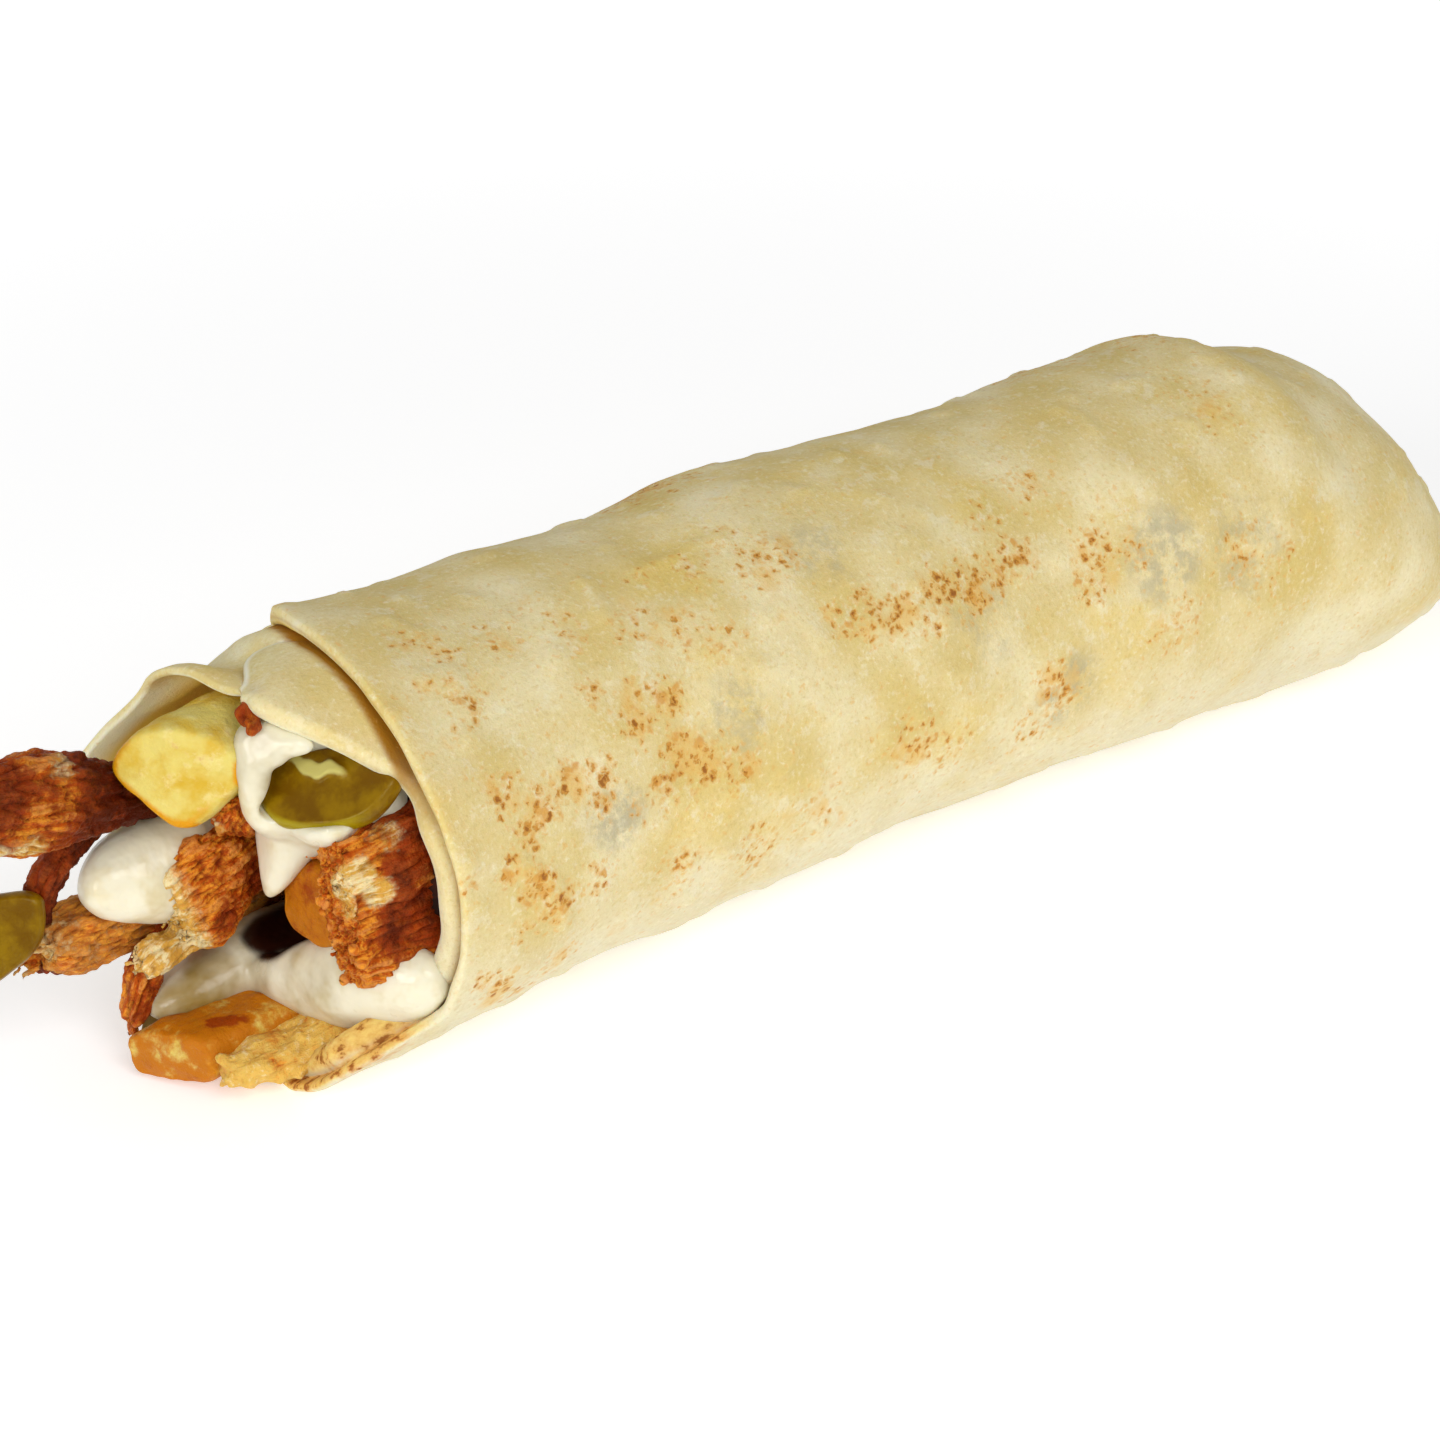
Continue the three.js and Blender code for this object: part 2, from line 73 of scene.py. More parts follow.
# The roll's section at places along it: x, half width, top height, base height, sideways bow. A base
# below 0 is flattened by the table.
STATIONS = np.array([
    (0, 27.7, 52.5, -1.2, 0.1),
    (22, 26.5, 51.3, -1.2, 0.5),
    (50, 26.2, 51.2, -1.2, 1.5),
    (75, 26.9, 52.4, -1.2, 1.9),
    (102, 26.3, 51.2, -1.2, 1.3),
    (125, 27, 52.4, -1.2, -0.2),
    (147, 28, 53.6, -1.2, 0),
    (153, 28.2, 52.2, -1.2, 0),
    (160, 28.2, 48.6, -1.2, 0),
    (169, 27.4, 45.2, -1.2, 0),
    (TUCK_START, 25.8, 40.6, -1.2, 0),
    (184, 23.4, 34, -1, 0),
    (189, 20.8, 28.4, -0.2, 0),
    (193.5, 17.4, 22.6, 0.8, 0),
    (197.5, 13, 16.8, 2.6, 0),
    (200, 8, 12, 5, 0),
])


# Helpers for shapes. They take numbers or whole arrays.


def ramp(low, high, value):
    """A smooth step from 0 at low to 1 at high."""
    share = np.clip((value - low) / (high - low), 0, 1)
    return share * share * (3 - 2 * share)


def bump(middle, half_width, value):
    """A smooth bump of height 1 at middle that is 0 beyond half_width."""
    return 1 - ramp(0, half_width, np.abs(value - middle))


def between(start, end, share):
    return start + (end - start) * share


def circle(sides):
    """The angles of a ring's points, in radians."""
    return np.linspace(0, 2 * math.pi, sides, endpoint=False)


def uneven(seed, a, b):
    """A repeatable wave between -1 and 1."""
    first = np.sin(a + seed * 1.7)
    second = np.sin(b * 1.3 - a * 0.7 + seed * 2.9)
    third = np.sin(a * 1.9 + b * 0.6 + seed * 4.3)
    return (first + second + third) / 3


def squareness(angle, power):
    """Rounds an ellipse towards a box as power grows above 2."""
    return (np.abs(np.cos(angle)) ** power + np.abs(np.sin(angle)) ** power) ** (-1 / power)


def cloud(points, size, seed=0):
    """Uneven values between -1 and 1 at points, changing over about size millimetres."""
    return np.array([noise.noise(p) for p in (points / size + 11.3 * seed).tolist()])


def ridges(points, size, seed=0):
    """Rounded tops of height 1 about size millimetres wide, with sharp grooves down to 0 between them."""
    return np.minimum(1, 2.6 * np.abs(cloud(points, size, seed))) ** 0.7


def patched(points, spots):
    """The strength of a list of (place, radius, strength) spots at points, with soft edges."""
    value = np.zeros(len(points))
    for place, radius, strength in spots:
        away = np.linalg.norm(points - place, axis=1)
        value = np.maximum(value, strength * ramp(radius, 0.4 * radius, away))
    return value


def look_up(at, column):
    """Reads a column of STATIONS at places along the roll, eased between its rows."""
    places = STATIONS[:, 0]
    values = STATIONS[:, column]
    rows = np.arange(len(places))
    before = np.maximum(rows - 1, 0)
    after = np.minimum(rows + 1, rows[-1])
    slopes = (values[after] - values[before]) / (places[after] - places[before])
    at = np.clip(at, places[0], places[-1])
    row = np.clip(np.searchsorted(places, at, side="right") - 1, 0, len(places) - 2)
    span = places[row + 1] - places[row]
    t = (at - places[row]) / span
    rise = values[row + 1] - values[row]
    into = slopes[row] * span
    out = slopes[row + 1] * span
    square = (3 * rise - 2 * into - out) * t * t
    cube = (into + out - 2 * rise) * t * t * t
    return values[row] + into * t + square + cube


# Helpers for meshes. A shell is a closed skin as (points, faces).


def shell_from_rings(rings, start=None, end=None):
    """A closed shell over rings of equally many points, capped by a point at each end: the middle of the
    first or last ring, unless start or end is given."""
    start = rings[0].mean(0) if start is None else start
    end = rings[-1].mean(0) if end is None else end
    count, sides = rings.shape[:2]
    points = np.concatenate([[start], rings.reshape(-1, 3), [end]])
    side = np.arange(sides)
    after = (side + 1) % sides
    first = 1 + np.arange(count - 1)[:, None] * sides
    quads = np.stack([first + side, first + after, first + after + sides, first + side + sides], -1)
    last = 1 + (count - 1) * sides
    faces = quads.reshape(-1, 4).tolist()
    faces += [(0, 1 + b, 1 + a) for a, b in zip(side, after)]
    faces += [(last + a, last + b, len(points) - 1) for a, b in zip(side, after)]
    return points, faces


def put_in(name, data):
    """Adds an object to the scene."""
    made = bpy.data.objects.new(name, data)
    bpy.context.scene.collection.objects.link(made)
    return made


def new_piece(name, shells):
    """An object of one or more closed shells, still in the drawing's millimetres."""
    points = []
    faces = []
    for shell_points, shell_faces in shells:
        start = len(points)
        points.extend(shell_points.tolist())
        faces.extend([start + corner for corner in face] for face in shell_faces)
    mesh = bpy.data.meshes.new(name)
    mesh.from_pydata(points, [], faces)
    solid = bmesh.new()
    solid.from_mesh(mesh)
    bmesh.ops.recalc_face_normals(solid, faces=solid.faces)
    solid.to_mesh(mesh)
    solid.free()
    return put_in(name, mesh)


def modify(piece, kind, **settings):
    """Runs one of Blender's modifiers on a piece and keeps what it makes."""
    modifier = piece.modifiers.new(kind.lower(), kind)
    for key, value in settings.items():
        setattr(modifier, key, value)
    depsgraph = bpy.context.evaluated_depsgraph_get()
    made = bpy.data.meshes.new_from_object(piece.evaluated_get(depsgraph))
    before = piece.data
    piece.modifiers.clear()
    piece.data = made
    bpy.data.meshes.remove(before)


def combine(piece, other, operation):
    """Joins another closed piece to a piece or cuts it out, and drops the other."""
    modify(piece, "BOOLEAN", operation=operation, solver="MANIFOLD", object=other)
    bpy.data.meshes.remove(other.data)


def fused(name, shells, voxel):
    """One skin over shells that overlap, rebuilt from small cubes so that folds between them stay."""
    piece = new_piece(name, shells)
    modify(piece, "REMESH", mode="VOXEL", voxel_size=voxel)
    return piece


def joined(name, shells):
    """One closed skin round shells that overlap, with their surfaces kept as they are."""
    whole, *others = [new_piece(name, [shell]) for shell in shells]
    for other in others:
        combine(whole, other, "UNION")
    return whole


def read(collection, field, width):
    values = np.empty(len(collection) * width, np.float32)
    collection.foreach_get(field, values)
    return values.reshape(-1, width).astype(float)


def points_of(piece):
    return read(piece.data.vertices, "co", 3)


def emboss(piece, height):
    """Moves each point of a piece out along its surface's normal, but not into the table."""
    moved = points_of(piece) + read(piece.data.vertex_normals, "vector", 3) * np.asarray(height)[:, None]
    moved[:, 2] = np.maximum(moved[:, 2], 0)
    place_points(piece, moved)


def place_points(piece, points):
    piece.data.vertices.foreach_set("co", points.astype(np.float32).ravel())
    piece.data.update()


def smoothed(piece, rounds):
    """A piece's points after each has moved halfway to its neighbours' middle, rounds times."""
    points = points_of(piece)
    edges = np.empty(len(piece.data.edges) * 2, np.int32)
    piece.data.edges.foreach_get("vertices", edges)
    one, other = edges.reshape(-1, 2).T
    count = np.bincount(edges, minlength=len(points))[:, None]
    for _ in range(rounds):
        total = np.stack([
            np.bincount(one, points[other, axis], len(points))
            + np.bincount(other, points[one, axis], len(points))
            for axis in range(3)
        ], -1)
        points = 0.5 * points + 0.5 * total / count
    return points


def mark(piece, **fields):
    """Stores numbers, or vectors, at the points of a piece under a name, for its material to read."""
    for name, values in fields.items():
        values = np.asarray(values, np.float32)
        kind, field = ("FLOAT", "value") if values.ndim == 1 else ("FLOAT_VECTOR", "vector")
        piece.data.attributes.new(name, kind, "POINT").data.foreach_set(field, values.ravel())


def set_out(piece, material, slot, *nodes):
    """Moves a piece from the drawing into the frame, in the place of CAD nodes."""
    piece.data.transform(Matrix.Scale(MM, 4) @ Matrix.Translation(DRAWING_TO_FRAME))
    piece.data.shade_smooth()
    piece.data.materials.clear()
    piece.data.materials.append(material)
    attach(piece, "root")
    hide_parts(*nodes)


# Materials


class Output:
    """One output of a node. Sums, products and the like with it add Math nodes."""

    def __init__(self, finish, socket):
        self.finish = finish
        self.socket = socket

    def math(self, operation, *values):
        return self.finish.node("ShaderNodeMath", {"operation": operation}, dict(enumerate(values)))

    def __add__(self, other):
        return self.math("ADD", self, other)

    def __sub__(self, other):
        return self.math("SUBTRACT", self, other)

    def __rsub__(self, other):
        return self.math("SUBTRACT", other, self)

    def __mul__(self, other):
        return self.math("MULTIPLY", self, other)

    __radd__ = __add__
    __rmul__ = __mul__


class Finish:
    """A material in the making: one Principled shader and the nodes that feed it."""

    def __init__(self, name, sockets):
        self.material = bpy.data.materials.new(name)
        self.material.use_nodes = True
        self.tree = self.material.node_tree
        self.shader = self.tree.nodes["Principled BSDF"]
        self.paint(sockets)

    def paint(self, sockets):
        for key, value in sockets.items():
            self.feed(self.shader.inputs[key], value)
        return self.material

    def node(self, kind, settings=None, sockets=None, output=0):
        """Adds a node, with its settings first and then the values or links of its sockets."""
        made = self.tree.nodes.new(kind)
        for key, value in (settings or {}).items():
            setattr(made, key, value)
        for key, value in (sockets or {}).items():
            self.feed(made.inputs[key], value)
        return Output(self, made.outputs[output])

    def feed(self, socket, value):
        if isinstance(value, Output):
            self.tree.links.new(value.socket, socket)
        else:
            socket.default_value = value

    def place(self):
        """Where a point lies, in metres."""
        return self.node("ShaderNodeTexCoord", output="Object")

    def marked(self, name, output="Fac"):
        """What mark() stored under a name."""
        return self.node("ShaderNodeAttribute", {"attribute_name": name}, output=output)

    def grain(self, where, size, detail, roughness, output=0):
        """Cloudy values about 0.5 that change over about size, in the units of where."""
        sockets = {"Vector": where, "Scale": 1 / size, "Detail": detail, "Roughness": roughness}
        return self.node("ShaderNodeTexNoise", {}, sockets, output)

    def shaken(self, where, size, amount):
        """Moves a place unevenly by up to about amount."""
        push = self.grain(where, size, 2.0, 0.5, "Color")
        settings = {"operation": "MULTIPLY_ADD"}
        return self.node("ShaderNodeVectorMath", settings, {0: push, 1: (amount,) * 3, 2: where})

    def freckles(self, where, size, crowd):
        """How far inside a freckle a point is, in shares of size. More and larger ones grow where crowd,
        from 0 to 1, is high."""
        sockets = {"Vector": self.shaken(where, size * 0.7, size * 1.3), "Scale": 1 / size}
        away = self.node("ShaderNodeTexVoronoi", {}, sockets)
        chance = self.node("ShaderNodeTexVoronoi", {}, sockets, "Color") * 0.55
        return chance + crowd * 0.55 - 0.55 - away

    def step(self, value, low, high):
        """A smooth step from 0 at low to 1 at high."""
        settings = {"interpolation_type": "SMOOTHSTEP"}
        return self.node("ShaderNodeMapRange", settings, {"Value": value, 1: low, 2: high})

    def mix(self, first, second, share):
        """Mixes two colours."""
        sockets = {0: share, 6: first, 7: second}
        return self.node("ShaderNodeMix", {"data_type": "RGBA"}, sockets, output=2)

    def layers(self, base, *coats):
        """Lays coats over a base colour, one after another. A coat is (screen colour or mix, share)."""
        for shade, share in coats:
            base = self.mix(base, shade if isinstance(shade, Output) else colour(*shade), share)
        return base

    def stretched(self, where, scale):
        """Scales a vector along its axes."""
        settings = {"operation": "MULTIPLY"}
        return self.node("ShaderNodeVectorMath", settings, {0: where, 1: scale})

    def relief(self, height, depth):
        """Bumps the surface by height, which runs from 0 to 1, times depth in metres."""
        bumped = self.node("ShaderNodeBump", {}, {"Height": height, "Distance": depth}, output="Normal")
        self.feed(self.shader.inputs["Normal"], bumped)


def colour(red, green, blue):
    """A screen colour from 0 to 255 as the linear colour that a shader takes."""
    def linear(value):
        share = value / 255
        return share / 12.92 if share <= 0.04045 else ((share + 0.055) / 1.055) ** 2.4
    return linear(red), linear(green), linear(blue), 1.0


def subsurface(weight, radius, scale):
    """The sockets that let light into a surface, by about scale in metres."""
    return {"Subsurface Weight": weight, "Subsurface Radius": radius, "Subsurface Scale": scale}


def bread_finish():
    finish = Finish("baked_bread", {**subsurface(0.35, (1.0, 0.6, 0.25), 0.004), "Specular IOR Level": 0.2})
    where = finish.place()
    toast = finish.marked("toast")
    flour = finish.grain(where, 0.0007, 4.0, 0.7)
    small = finish.freckles(where, 0.0012, toast * 1.1)
    browned = finish.step(small, -0.04, 0.16)
    dough = dough_colour(finish, where, flour)
    dough = toasted_colour(finish, dough, where, toast, small, browned)
    finish.relief(flour * 0.6 - browned * 0.4 + 0.4, 0.00025)
    return finish.paint({"Base Color": dough, "Roughness": 0.78 - browned * 0.2})


def dough_colour(finish, where, flour):
    """Cream dough with buttery and thin grey patches, flour with painted light from the white table towards
    the base, and its colours at the mouth: the rolled edge, painted light on the inner faces, a painted glow
    under the lip with toast on the flap, and painted shade in the gap under the outer rim.
    """
    floury = finish.marked("floury")
    creamy = finish.step(finish.grain(where, 0.012, 4.0, 0.6) + floury * 0.3, 0.3, 0.75)
    wide = finish.grain(finish.stretched(where, (1.0, 1.3, 1.3)), 0.02, 4.0, 0.6)
    mottle = finish.grain(where, 0.003, 4.0, 0.65)
    thin = finish.step(finish.grain(where, 0.004, 5.0, 0.7), 0.4, 0.62)
    return finish.layers(
        colour(214, 190, 118),
        ((236, 224, 182), creamy),
        ((226, 196, 104), finish.step(wide, 0.52, 0.7) * 0.55),
        ((212, 182, 104), finish.step(mottle, 0.5, 0.7) * 0.35),
        ((240, 233, 206), finish.step(mottle, 0.48, 0.32) * 0.4),
        # whiter towards the base: flour, and painted light from the white table
        ((212, 206, 184), floury * 0.6),
        ((250, 243, 214), finish.step(flour, 0.52, 0.75) * 0.4),
        ((196, 170, 100), finish.step(flour, 0.48, 0.28) * 0.4),
        ((176, 166, 134), finish.marked("glassy") * thin * 0.75),
        # painted light: the inner faces at the mouth are painted pale cream to stand in for light reaching
        # them
        ((250, 243, 208), finish.marked("inside")),
        # painted glow under the lip, where light comes through the thin bread, and real toast on the flap
        ((244, 206, 84), finish.marked("golden")),
        ((246, 240, 218), finish.marked("rolled") * 0.8),
        # painted shade: a thin warm shadow line in the gap under the outer rim
        ((158, 106, 16), finish.marked("fold")),
    )


def toasted_colour(finish, dough, where, toast, small, browned):
    """Freckles of three sizes, from pale stains to dark hearts, and the seared rims."""
    stains = finish.freckles(where, 0.005, toast)
    middling = finish.freckles(where, 0.0025, toast * 0.95)
    crisp = finish.grain(finish.stretched(where, (1.0, 2.0, 2.0)), 0.0024, 5.0, 0.6)
    seared = finish.step(finish.marked("seared") + (crisp - 0.5) * 2.2, 0.3, 1.3)
    return finish.layers(
        dough,
        ((226, 184, 102), finish.step(stains, -0.35, 0.25) * 0.6),
        ((210, 150, 66), finish.step(middling, -0.08, 0.2) * 0.8),
        ((222, 172, 90), finish.step(small, -0.4, 0.0) * 0.55),
        ((200, 138, 46), browned * 0.85),
        ((146, 84, 26), finish.step(small, 0.16, 0.34) * 0.8),
        ((208, 142, 56), seared * 0.9),
        ((132, 66, 16), finish.step(seared, 0.6, 0.95) * 0.8),
    )


def meat_finish():
    finish = Finish("grilled_chicken", {
        **subsurface(0.1, (1.0, 0.35, 0.1), 0.002),
        "Specular IOR Level": 0.3,
        "Specular Tint": (1.0, 0.62, 0.3, 1.0),
    })
    run = finish.marked("run", "Vector")
    streaks = finish.grain(finish.stretched(run, (0.14, 1.0, 1.0)), 0.45, 4.0, 0.65)
    crust = finish.grain(run, 0.8, 4.0, 0.7)
    flesh = meat_colour(finish, streaks, crust, finish.grain(run, 3.5, 3.0, 0.6))
    finish.relief(streaks * 0.5 + crust * 0.5, 0.0007)
    return finish.paint({"Base Color": flesh, "Roughness": 0.34 + crust * 0.3})


def meat_colour(finish, streaks, crust, patches):
    """Roasted meat that chars in patches, with pale torn flesh, glazed bits with painted highlights, painted
    highlights on the ridge tops, painted shade in the grooves and dents, and painted shade in places among
    the char.
    """
    pale, groove, glazed = (finish.marked(name) for name in ("pale", "groove", "glazed"))
    streaky, crusty, patchy = (grain - 0.5 for grain in (streaks, crust, patches))
    charred = finish.marked("char") + patchy * 1.5 + crusty * 0.7 + streaky * 0.6
    torn = finish.layers(colour(216, 164, 70), ((242, 222, 168), finish.step(streaks + patchy, 0.4, 0.66)))
    return finish.layers(
        colour(186, 80, 10),
        ((234, 150, 44), finish.step(streaks, 0.42, 0.62)),
        ((158, 50, 6), finish.step(crust, 0.5, 0.66) * 0.7),
        # painted highlight on the ridge tops
        ((240, 168, 84), finish.step(groove + streaky * 0.5, 0.22, 0.02) * 0.5),
        # darkened for char, and as painted shade on the sides of the middle and right pieces deep in the
        # mouth
        ((140, 44, 7), finish.step(charred, 0.2, 0.65) * 0.9),
        ((78, 16, 3), finish.step(charred, 0.6, 1.2)),
        (torn, finish.step(pale + crusty * 0.9 + patchy * 0.6, 0.25, 0.85)),
        ((232, 190, 90), glazed * finish.step(patches + crusty * 0.5, 0.22, 0.5)),
        # painted highlights: whitish specks on the glazed bits
        ((244, 218, 158), glazed * finish.step(crust + patchy * 0.6, 0.54, 0.68)),
        # painted shade in the grooves and dents
        ((92, 20, 2), finish.step(groove, 0.42, 0.95) * (0.85 - pale * 0.5 - glazed * 0.5)),
    )


def fry_finish():
    finish = Finish("fried_potato", {
        **subsurface(0.25, (1.0, 0.65, 0.15), 0.003),
        "Specular IOR Level": 0.25,
        "Specular Tint": (1.0, 0.85, 0.5, 1.0),
    })
    where = finish.place()
    blisters = finish.grain(where, 0.0022, 5.0, 0.65)
    patches = finish.grain(where, 0.006, 4.0, 0.6)
    rough = blisters - 0.5
    edge = finish.marked("edge") + rough * 0.8
    # how dark: browning, and painted shade on the middle fry deep in the mouth
    fried = finish.marked("brown") + rough * 1.5 + (patches - 0.5) * 0.9
    smear = finish.marked("smear") + rough * 1.2
    skin = finish.layers(
        colour(222, 204, 112),
        ((210, 172, 50), finish.step(patches, 0.38, 0.66)),
        ((238, 224, 160), finish.step(blisters, 0.52, 0.7) * 0.5),
        ((218, 150, 12), finish.step(edge, 0.15, 0.7)),
        ((190, 112, 10), finish.step(fried, 0.3, 0.8)),
        ((152, 62, 6), finish.step(fried, 0.95, 1.5)),
        # whitish spots along the top fry's upper edge
        ((236, 226, 190), finish.step(smear, 0.3, 0.9) * 0.85),
    )
    finish.relief(blisters, 0.0005)
    return finish.paint({"Base Color": skin, "Roughness": 0.36 + patches * 0.2})


def sauce_finish():
    finish = Finish("garlic_sauce", {
        **subsurface(0.4, (1.0, 0.85, 0.6), 0.003),
        "Specular IOR Level": 0.4,
        "Coat Weight": 0.2,
        "Coat Roughness": 0.1,
    })
    swirls = finish.grain(finish.place(), 0.005, 3.0, 0.55)
    cream = finish.layers(
        colour(232, 226, 200),
        ((220, 208, 168), finish.step(swirls, 0.5, 0.75)),
        # juice tint and painted shade: grey-olive on the shaded lobe, the dollop's left part and the sauce
        # beside the scrap
        ((146, 120, 52), finish.step(finish.marked("stain") + swirls - 0.5, 0.0, 1.3)),
        ((44, 14, 4), finish.marked("shade")),
    )
    finish.relief(swirls, 0.0005)
    return finish.paint({"Base Color": cream, "Roughness": 0.24 + swirls * 0.1})


def filling_finish():
    """The meat, juices and sauce deep in the roll, seen only as dark gaps: painted near black as painted
    shade, since little light reaches in there.
    """
    finish = Finish("filling_inside", {"Roughness": 0.5, "Specular IOR Level": 0.1})
    lumps = finish.grain(finish.place(), 0.003, 3.0, 0.6)
    # painted shade: near-black brown with dull brown lumps
    deep = finish.layers(colour(34, 12, 4), ((74, 30, 8), finish.step(lumps, 0.45, 0.7)))
    return finish.paint({"Base Color": deep})


def pickle_finish():
    finish = Finish("pickle", {
        **subsurface(0.2, (0.9, 0.8, 0.1), 0.002),
        "Specular IOR Level": 0.3,
        "Specular Tint": (0.9, 0.85, 0.3, 1.0),
        "Coat Weight": 0.06,
        "Coat Roughness": 0.08,
    })
    veins = finish.grain(finish.place(), 0.004, 4.0, 0.6)
    flesh = finish.layers(
        colour(108, 72, 1),
        ((138, 104, 4), finish.step(veins, 0.35, 0.65)),
        # painted light: the lower rim of the top slice made bright yellow-green, where light comes through
        # it
        ((160, 142, 8), finish.marked("rim") * 0.9),
        ((190, 180, 104), finish.step(finish.marked("skinned") + veins - 0.5, 0.3, 0.9)),
    )
    finish.relief(veins, 0.0003)
    return finish.paint({"Base Color": flesh, "Roughness": 0.24 + veins * 0.14})


# Flatbread


def section_at(x):
    """The roll's half width, half height, height of its middle, and sideways bow."""
    half_width, top, base, bow = (look_up(x, column) for column in (1, 2, 3, 4))
    return half_width, (top - base) / 2, (top + base) / 2, bow


def seam_at(x):
    """The angle of the outer layer's free edge."""
    return between(SEAM_AT_MOUTH, SEAM_AT_END, x / ROLL_END)


def roll_skin(x, angle, inset=0.0, stepped=1.0):
    """The rolled bread's skin at x and degrees from +Y towards +Z, inset below the outside. stepped is 1
    where the outer layer's free edge shows as a step and 0 inside the roll."""
    half_width, half_height, middle, bow = section_at(x)
    closing = ramp(TUCK_START, ROLL_END, x)
    turned = ((angle - seam_at(x)) % 360) / 360
    nose = BREAD * (1 - np.sqrt(1 - (1 - np.minimum(turned / 0.006, 1)) ** 2))
    spiral = stepped * (BREAD * (0.5 - turned) - 0.8 * nose) * (1 - closing)
    rad = np.radians(angle)
    filling_bumps = 0.55 * uneven(1, x / 9, rad * 3) * (1 - closing)
    corner = stepped * 0.2 * bump(0, 11, x) * bump(SEAM_AT_MOUTH + 4, 30, angle)
    grow = spiral + filling_bumps + corner - inset
    y = bow + (half_width + grow) * np.cos(rad)
    z = np.maximum(inset, middle + (half_height + grow) * np.sin(rad))
    return np.stack(np.broadcast_arrays(x, y, z), -1).astype(float)


def outer_rim(angle):
    """How far the outer layer's rim stands from x = 0: level round the top, with a flap on the table."""
    angle = (angle + 30) % 360 - 30
    at_seam = 0.5 * bump(SEAM_AT_MOUTH, 34, angle)
    behind = 5 * bump(30, 60, angle)
    in_front = 1.1 * bump(178, 48, angle)
    along_table = -12 * ramp(207, 227, angle) * ramp(318, 262, angle)
    return at_seam + behind + in_front + along_table


def outer_layer():
    """The outer layer with the tucked end, and the hollow that the filling lies in."""
    near_seam = np.array([0, 0.0008, 0.002, 0.0035, 0.005, 0.0065])
    turns = np.concatenate([near_seam, np.linspace(0.0105, 0.9985, 236)])
    half = RIM / 2
    outside = [(x, 0.0, 1.0) for x in np.linspace(ROLL_END - 0.4, half, 224)]
    round_rim = [
        (half - half * math.sin(a), half - half * math.cos(a), 1 - a / math.pi)
        for a in np.linspace(0.2, math.pi - 0.2, 7)
    ]
    inside = [
        (x, between(RIM, WALL, ramp(0, 9, x)) + 12 * ramp(FILLING_END - 14, FILLING_END + 4, x), 0.0)
        for x in [*np.linspace(half, 14, 14), 20, 32, 50, 75, 105, 135, 156, 161, 166, FILLING_END]
    ]
    rows = np.array(outside + round_rim + inside)
    x = rows[:, :1] + 0 * turns
    angle = seam_at(x) + 360 * turns
    rings = roll_skin(x, angle, rows[:, 1:2], rows[:, 2:])
    rings[..., 0] += outer_rim(angle) * (1 - ramp(0, 26, x))
    return shell_from_rings(rings, (ROLL_END, 0, TIP_HEIGHT), (FILLING_END, 0, POCKET_MIDDLE))


def level(value):
    return 0 * value


def inner_sheet(start, end, steps, reach, tuck, swell, dip=level, skew=level):
    """A sheet of the inner turn between two angles. reach(angle) is where its rim stands, tuck(angle) how
    far below the outer skin it lies there, swell(angle) how much its rim thickens outwards, dip(angle)
    how far it sinks between the outer layer and its rim, and skew(x) turns its first end by an angle."""
    angle = np.linspace(start, end, steps)[:, None]
    rim = reach(angle) + 0.3 * np.sin(angle / 9) + 0.15 * np.sin(angle / 3.7 + 1)
    from_end = np.minimum(np.minimum(angle - start, end - angle) / 4, 1)
    along = np.linspace(0, 1, 34)
    turn = np.linspace(0.2, math.pi - 0.2, 9)
    v = np.concatenate([along, 0 * turn + 1, along[::-1]])
    side = np.concatenate([0 * along - 1, -np.cos(turn), 0 * along + 1])
    push = np.concatenate([0 * along, np.sin(turn), 0 * along])
    extra = swell(angle) * ramp(0.35, 0.95, v)
    half = (BREAD * (0.12 + 0.88 * np.sqrt(1 - (1 - from_end) ** 2)) + extra) / 2
    below = between(RIM + 0.15, tuck(angle), ramp(0.3, 1, v)) + dip(angle) * bump(0.72, 0.24, v)
    x = between(SHEET_ROOT, rim + half, v) - push * half
    turned = angle + skew(x) * ramp(start + 26, start, angle)
    rings = roll_skin(np.maximum(x, 0), turned, below + (BREAD - extra) / 2 + side * half, 0.0)
    rings[..., 0] = x
    return shell_from_rings(rings)


def collar():
    """The inner turn from the top round the front, whose thick rounded rim shows as a pale crescent."""
    return inner_sheet(
        COLLAR_END, 266, 220,
        reach=lambda angle: -11 + 1.5 * ramp(92, 84, angle) + 11.6 * ramp(99, 148, angle)
        - 11.6 * ramp(209, 229, angle),
        tuck=lambda angle: 3.0 + 1.0 * ramp(98, 135, angle) - 0.8 * ramp(200, 238, angle),
        swell=lambda angle: 1.2 * ramp(86, 100, angle) + 1.1 * ramp(128, 170, angle),
        skew=collar_skew,
    )


def collar_skew(x):
    """How the collar's free end curves: round to the back, and forward again to its rim."""
    return -8 * bump(-3.2, 6, x) + 7 * ramp(-5.5, -10, x) + 6 * ramp(-1, 4, x)


def lip():
    """The end of the same turn, which pushes out over the top and back of the filling."""
    return inner_sheet(
        -42, 92, 160,
        reach=lip_rim,
        tuck=lip_tuck,
        swell=lambda angle: 0 * angle - 0.4,
        dip=lambda angle: 2.3 * bump(70, 42, angle),
    )


def lip_tuck(angle):
    """How far the lip's rim lies below the outer skin."""
    return 2.4 + 1.4 * bump(20, 50, angle) - 1.0 * bump(62, 22, angle) + 1.1 * ramp(74, 88, angle)


def lip_rim(angle):
    """Where the lip's rim stands."""
    return 2 - 15.5 * bump(58, 100, angle) - 13.5 * bump(12, 42, angle)


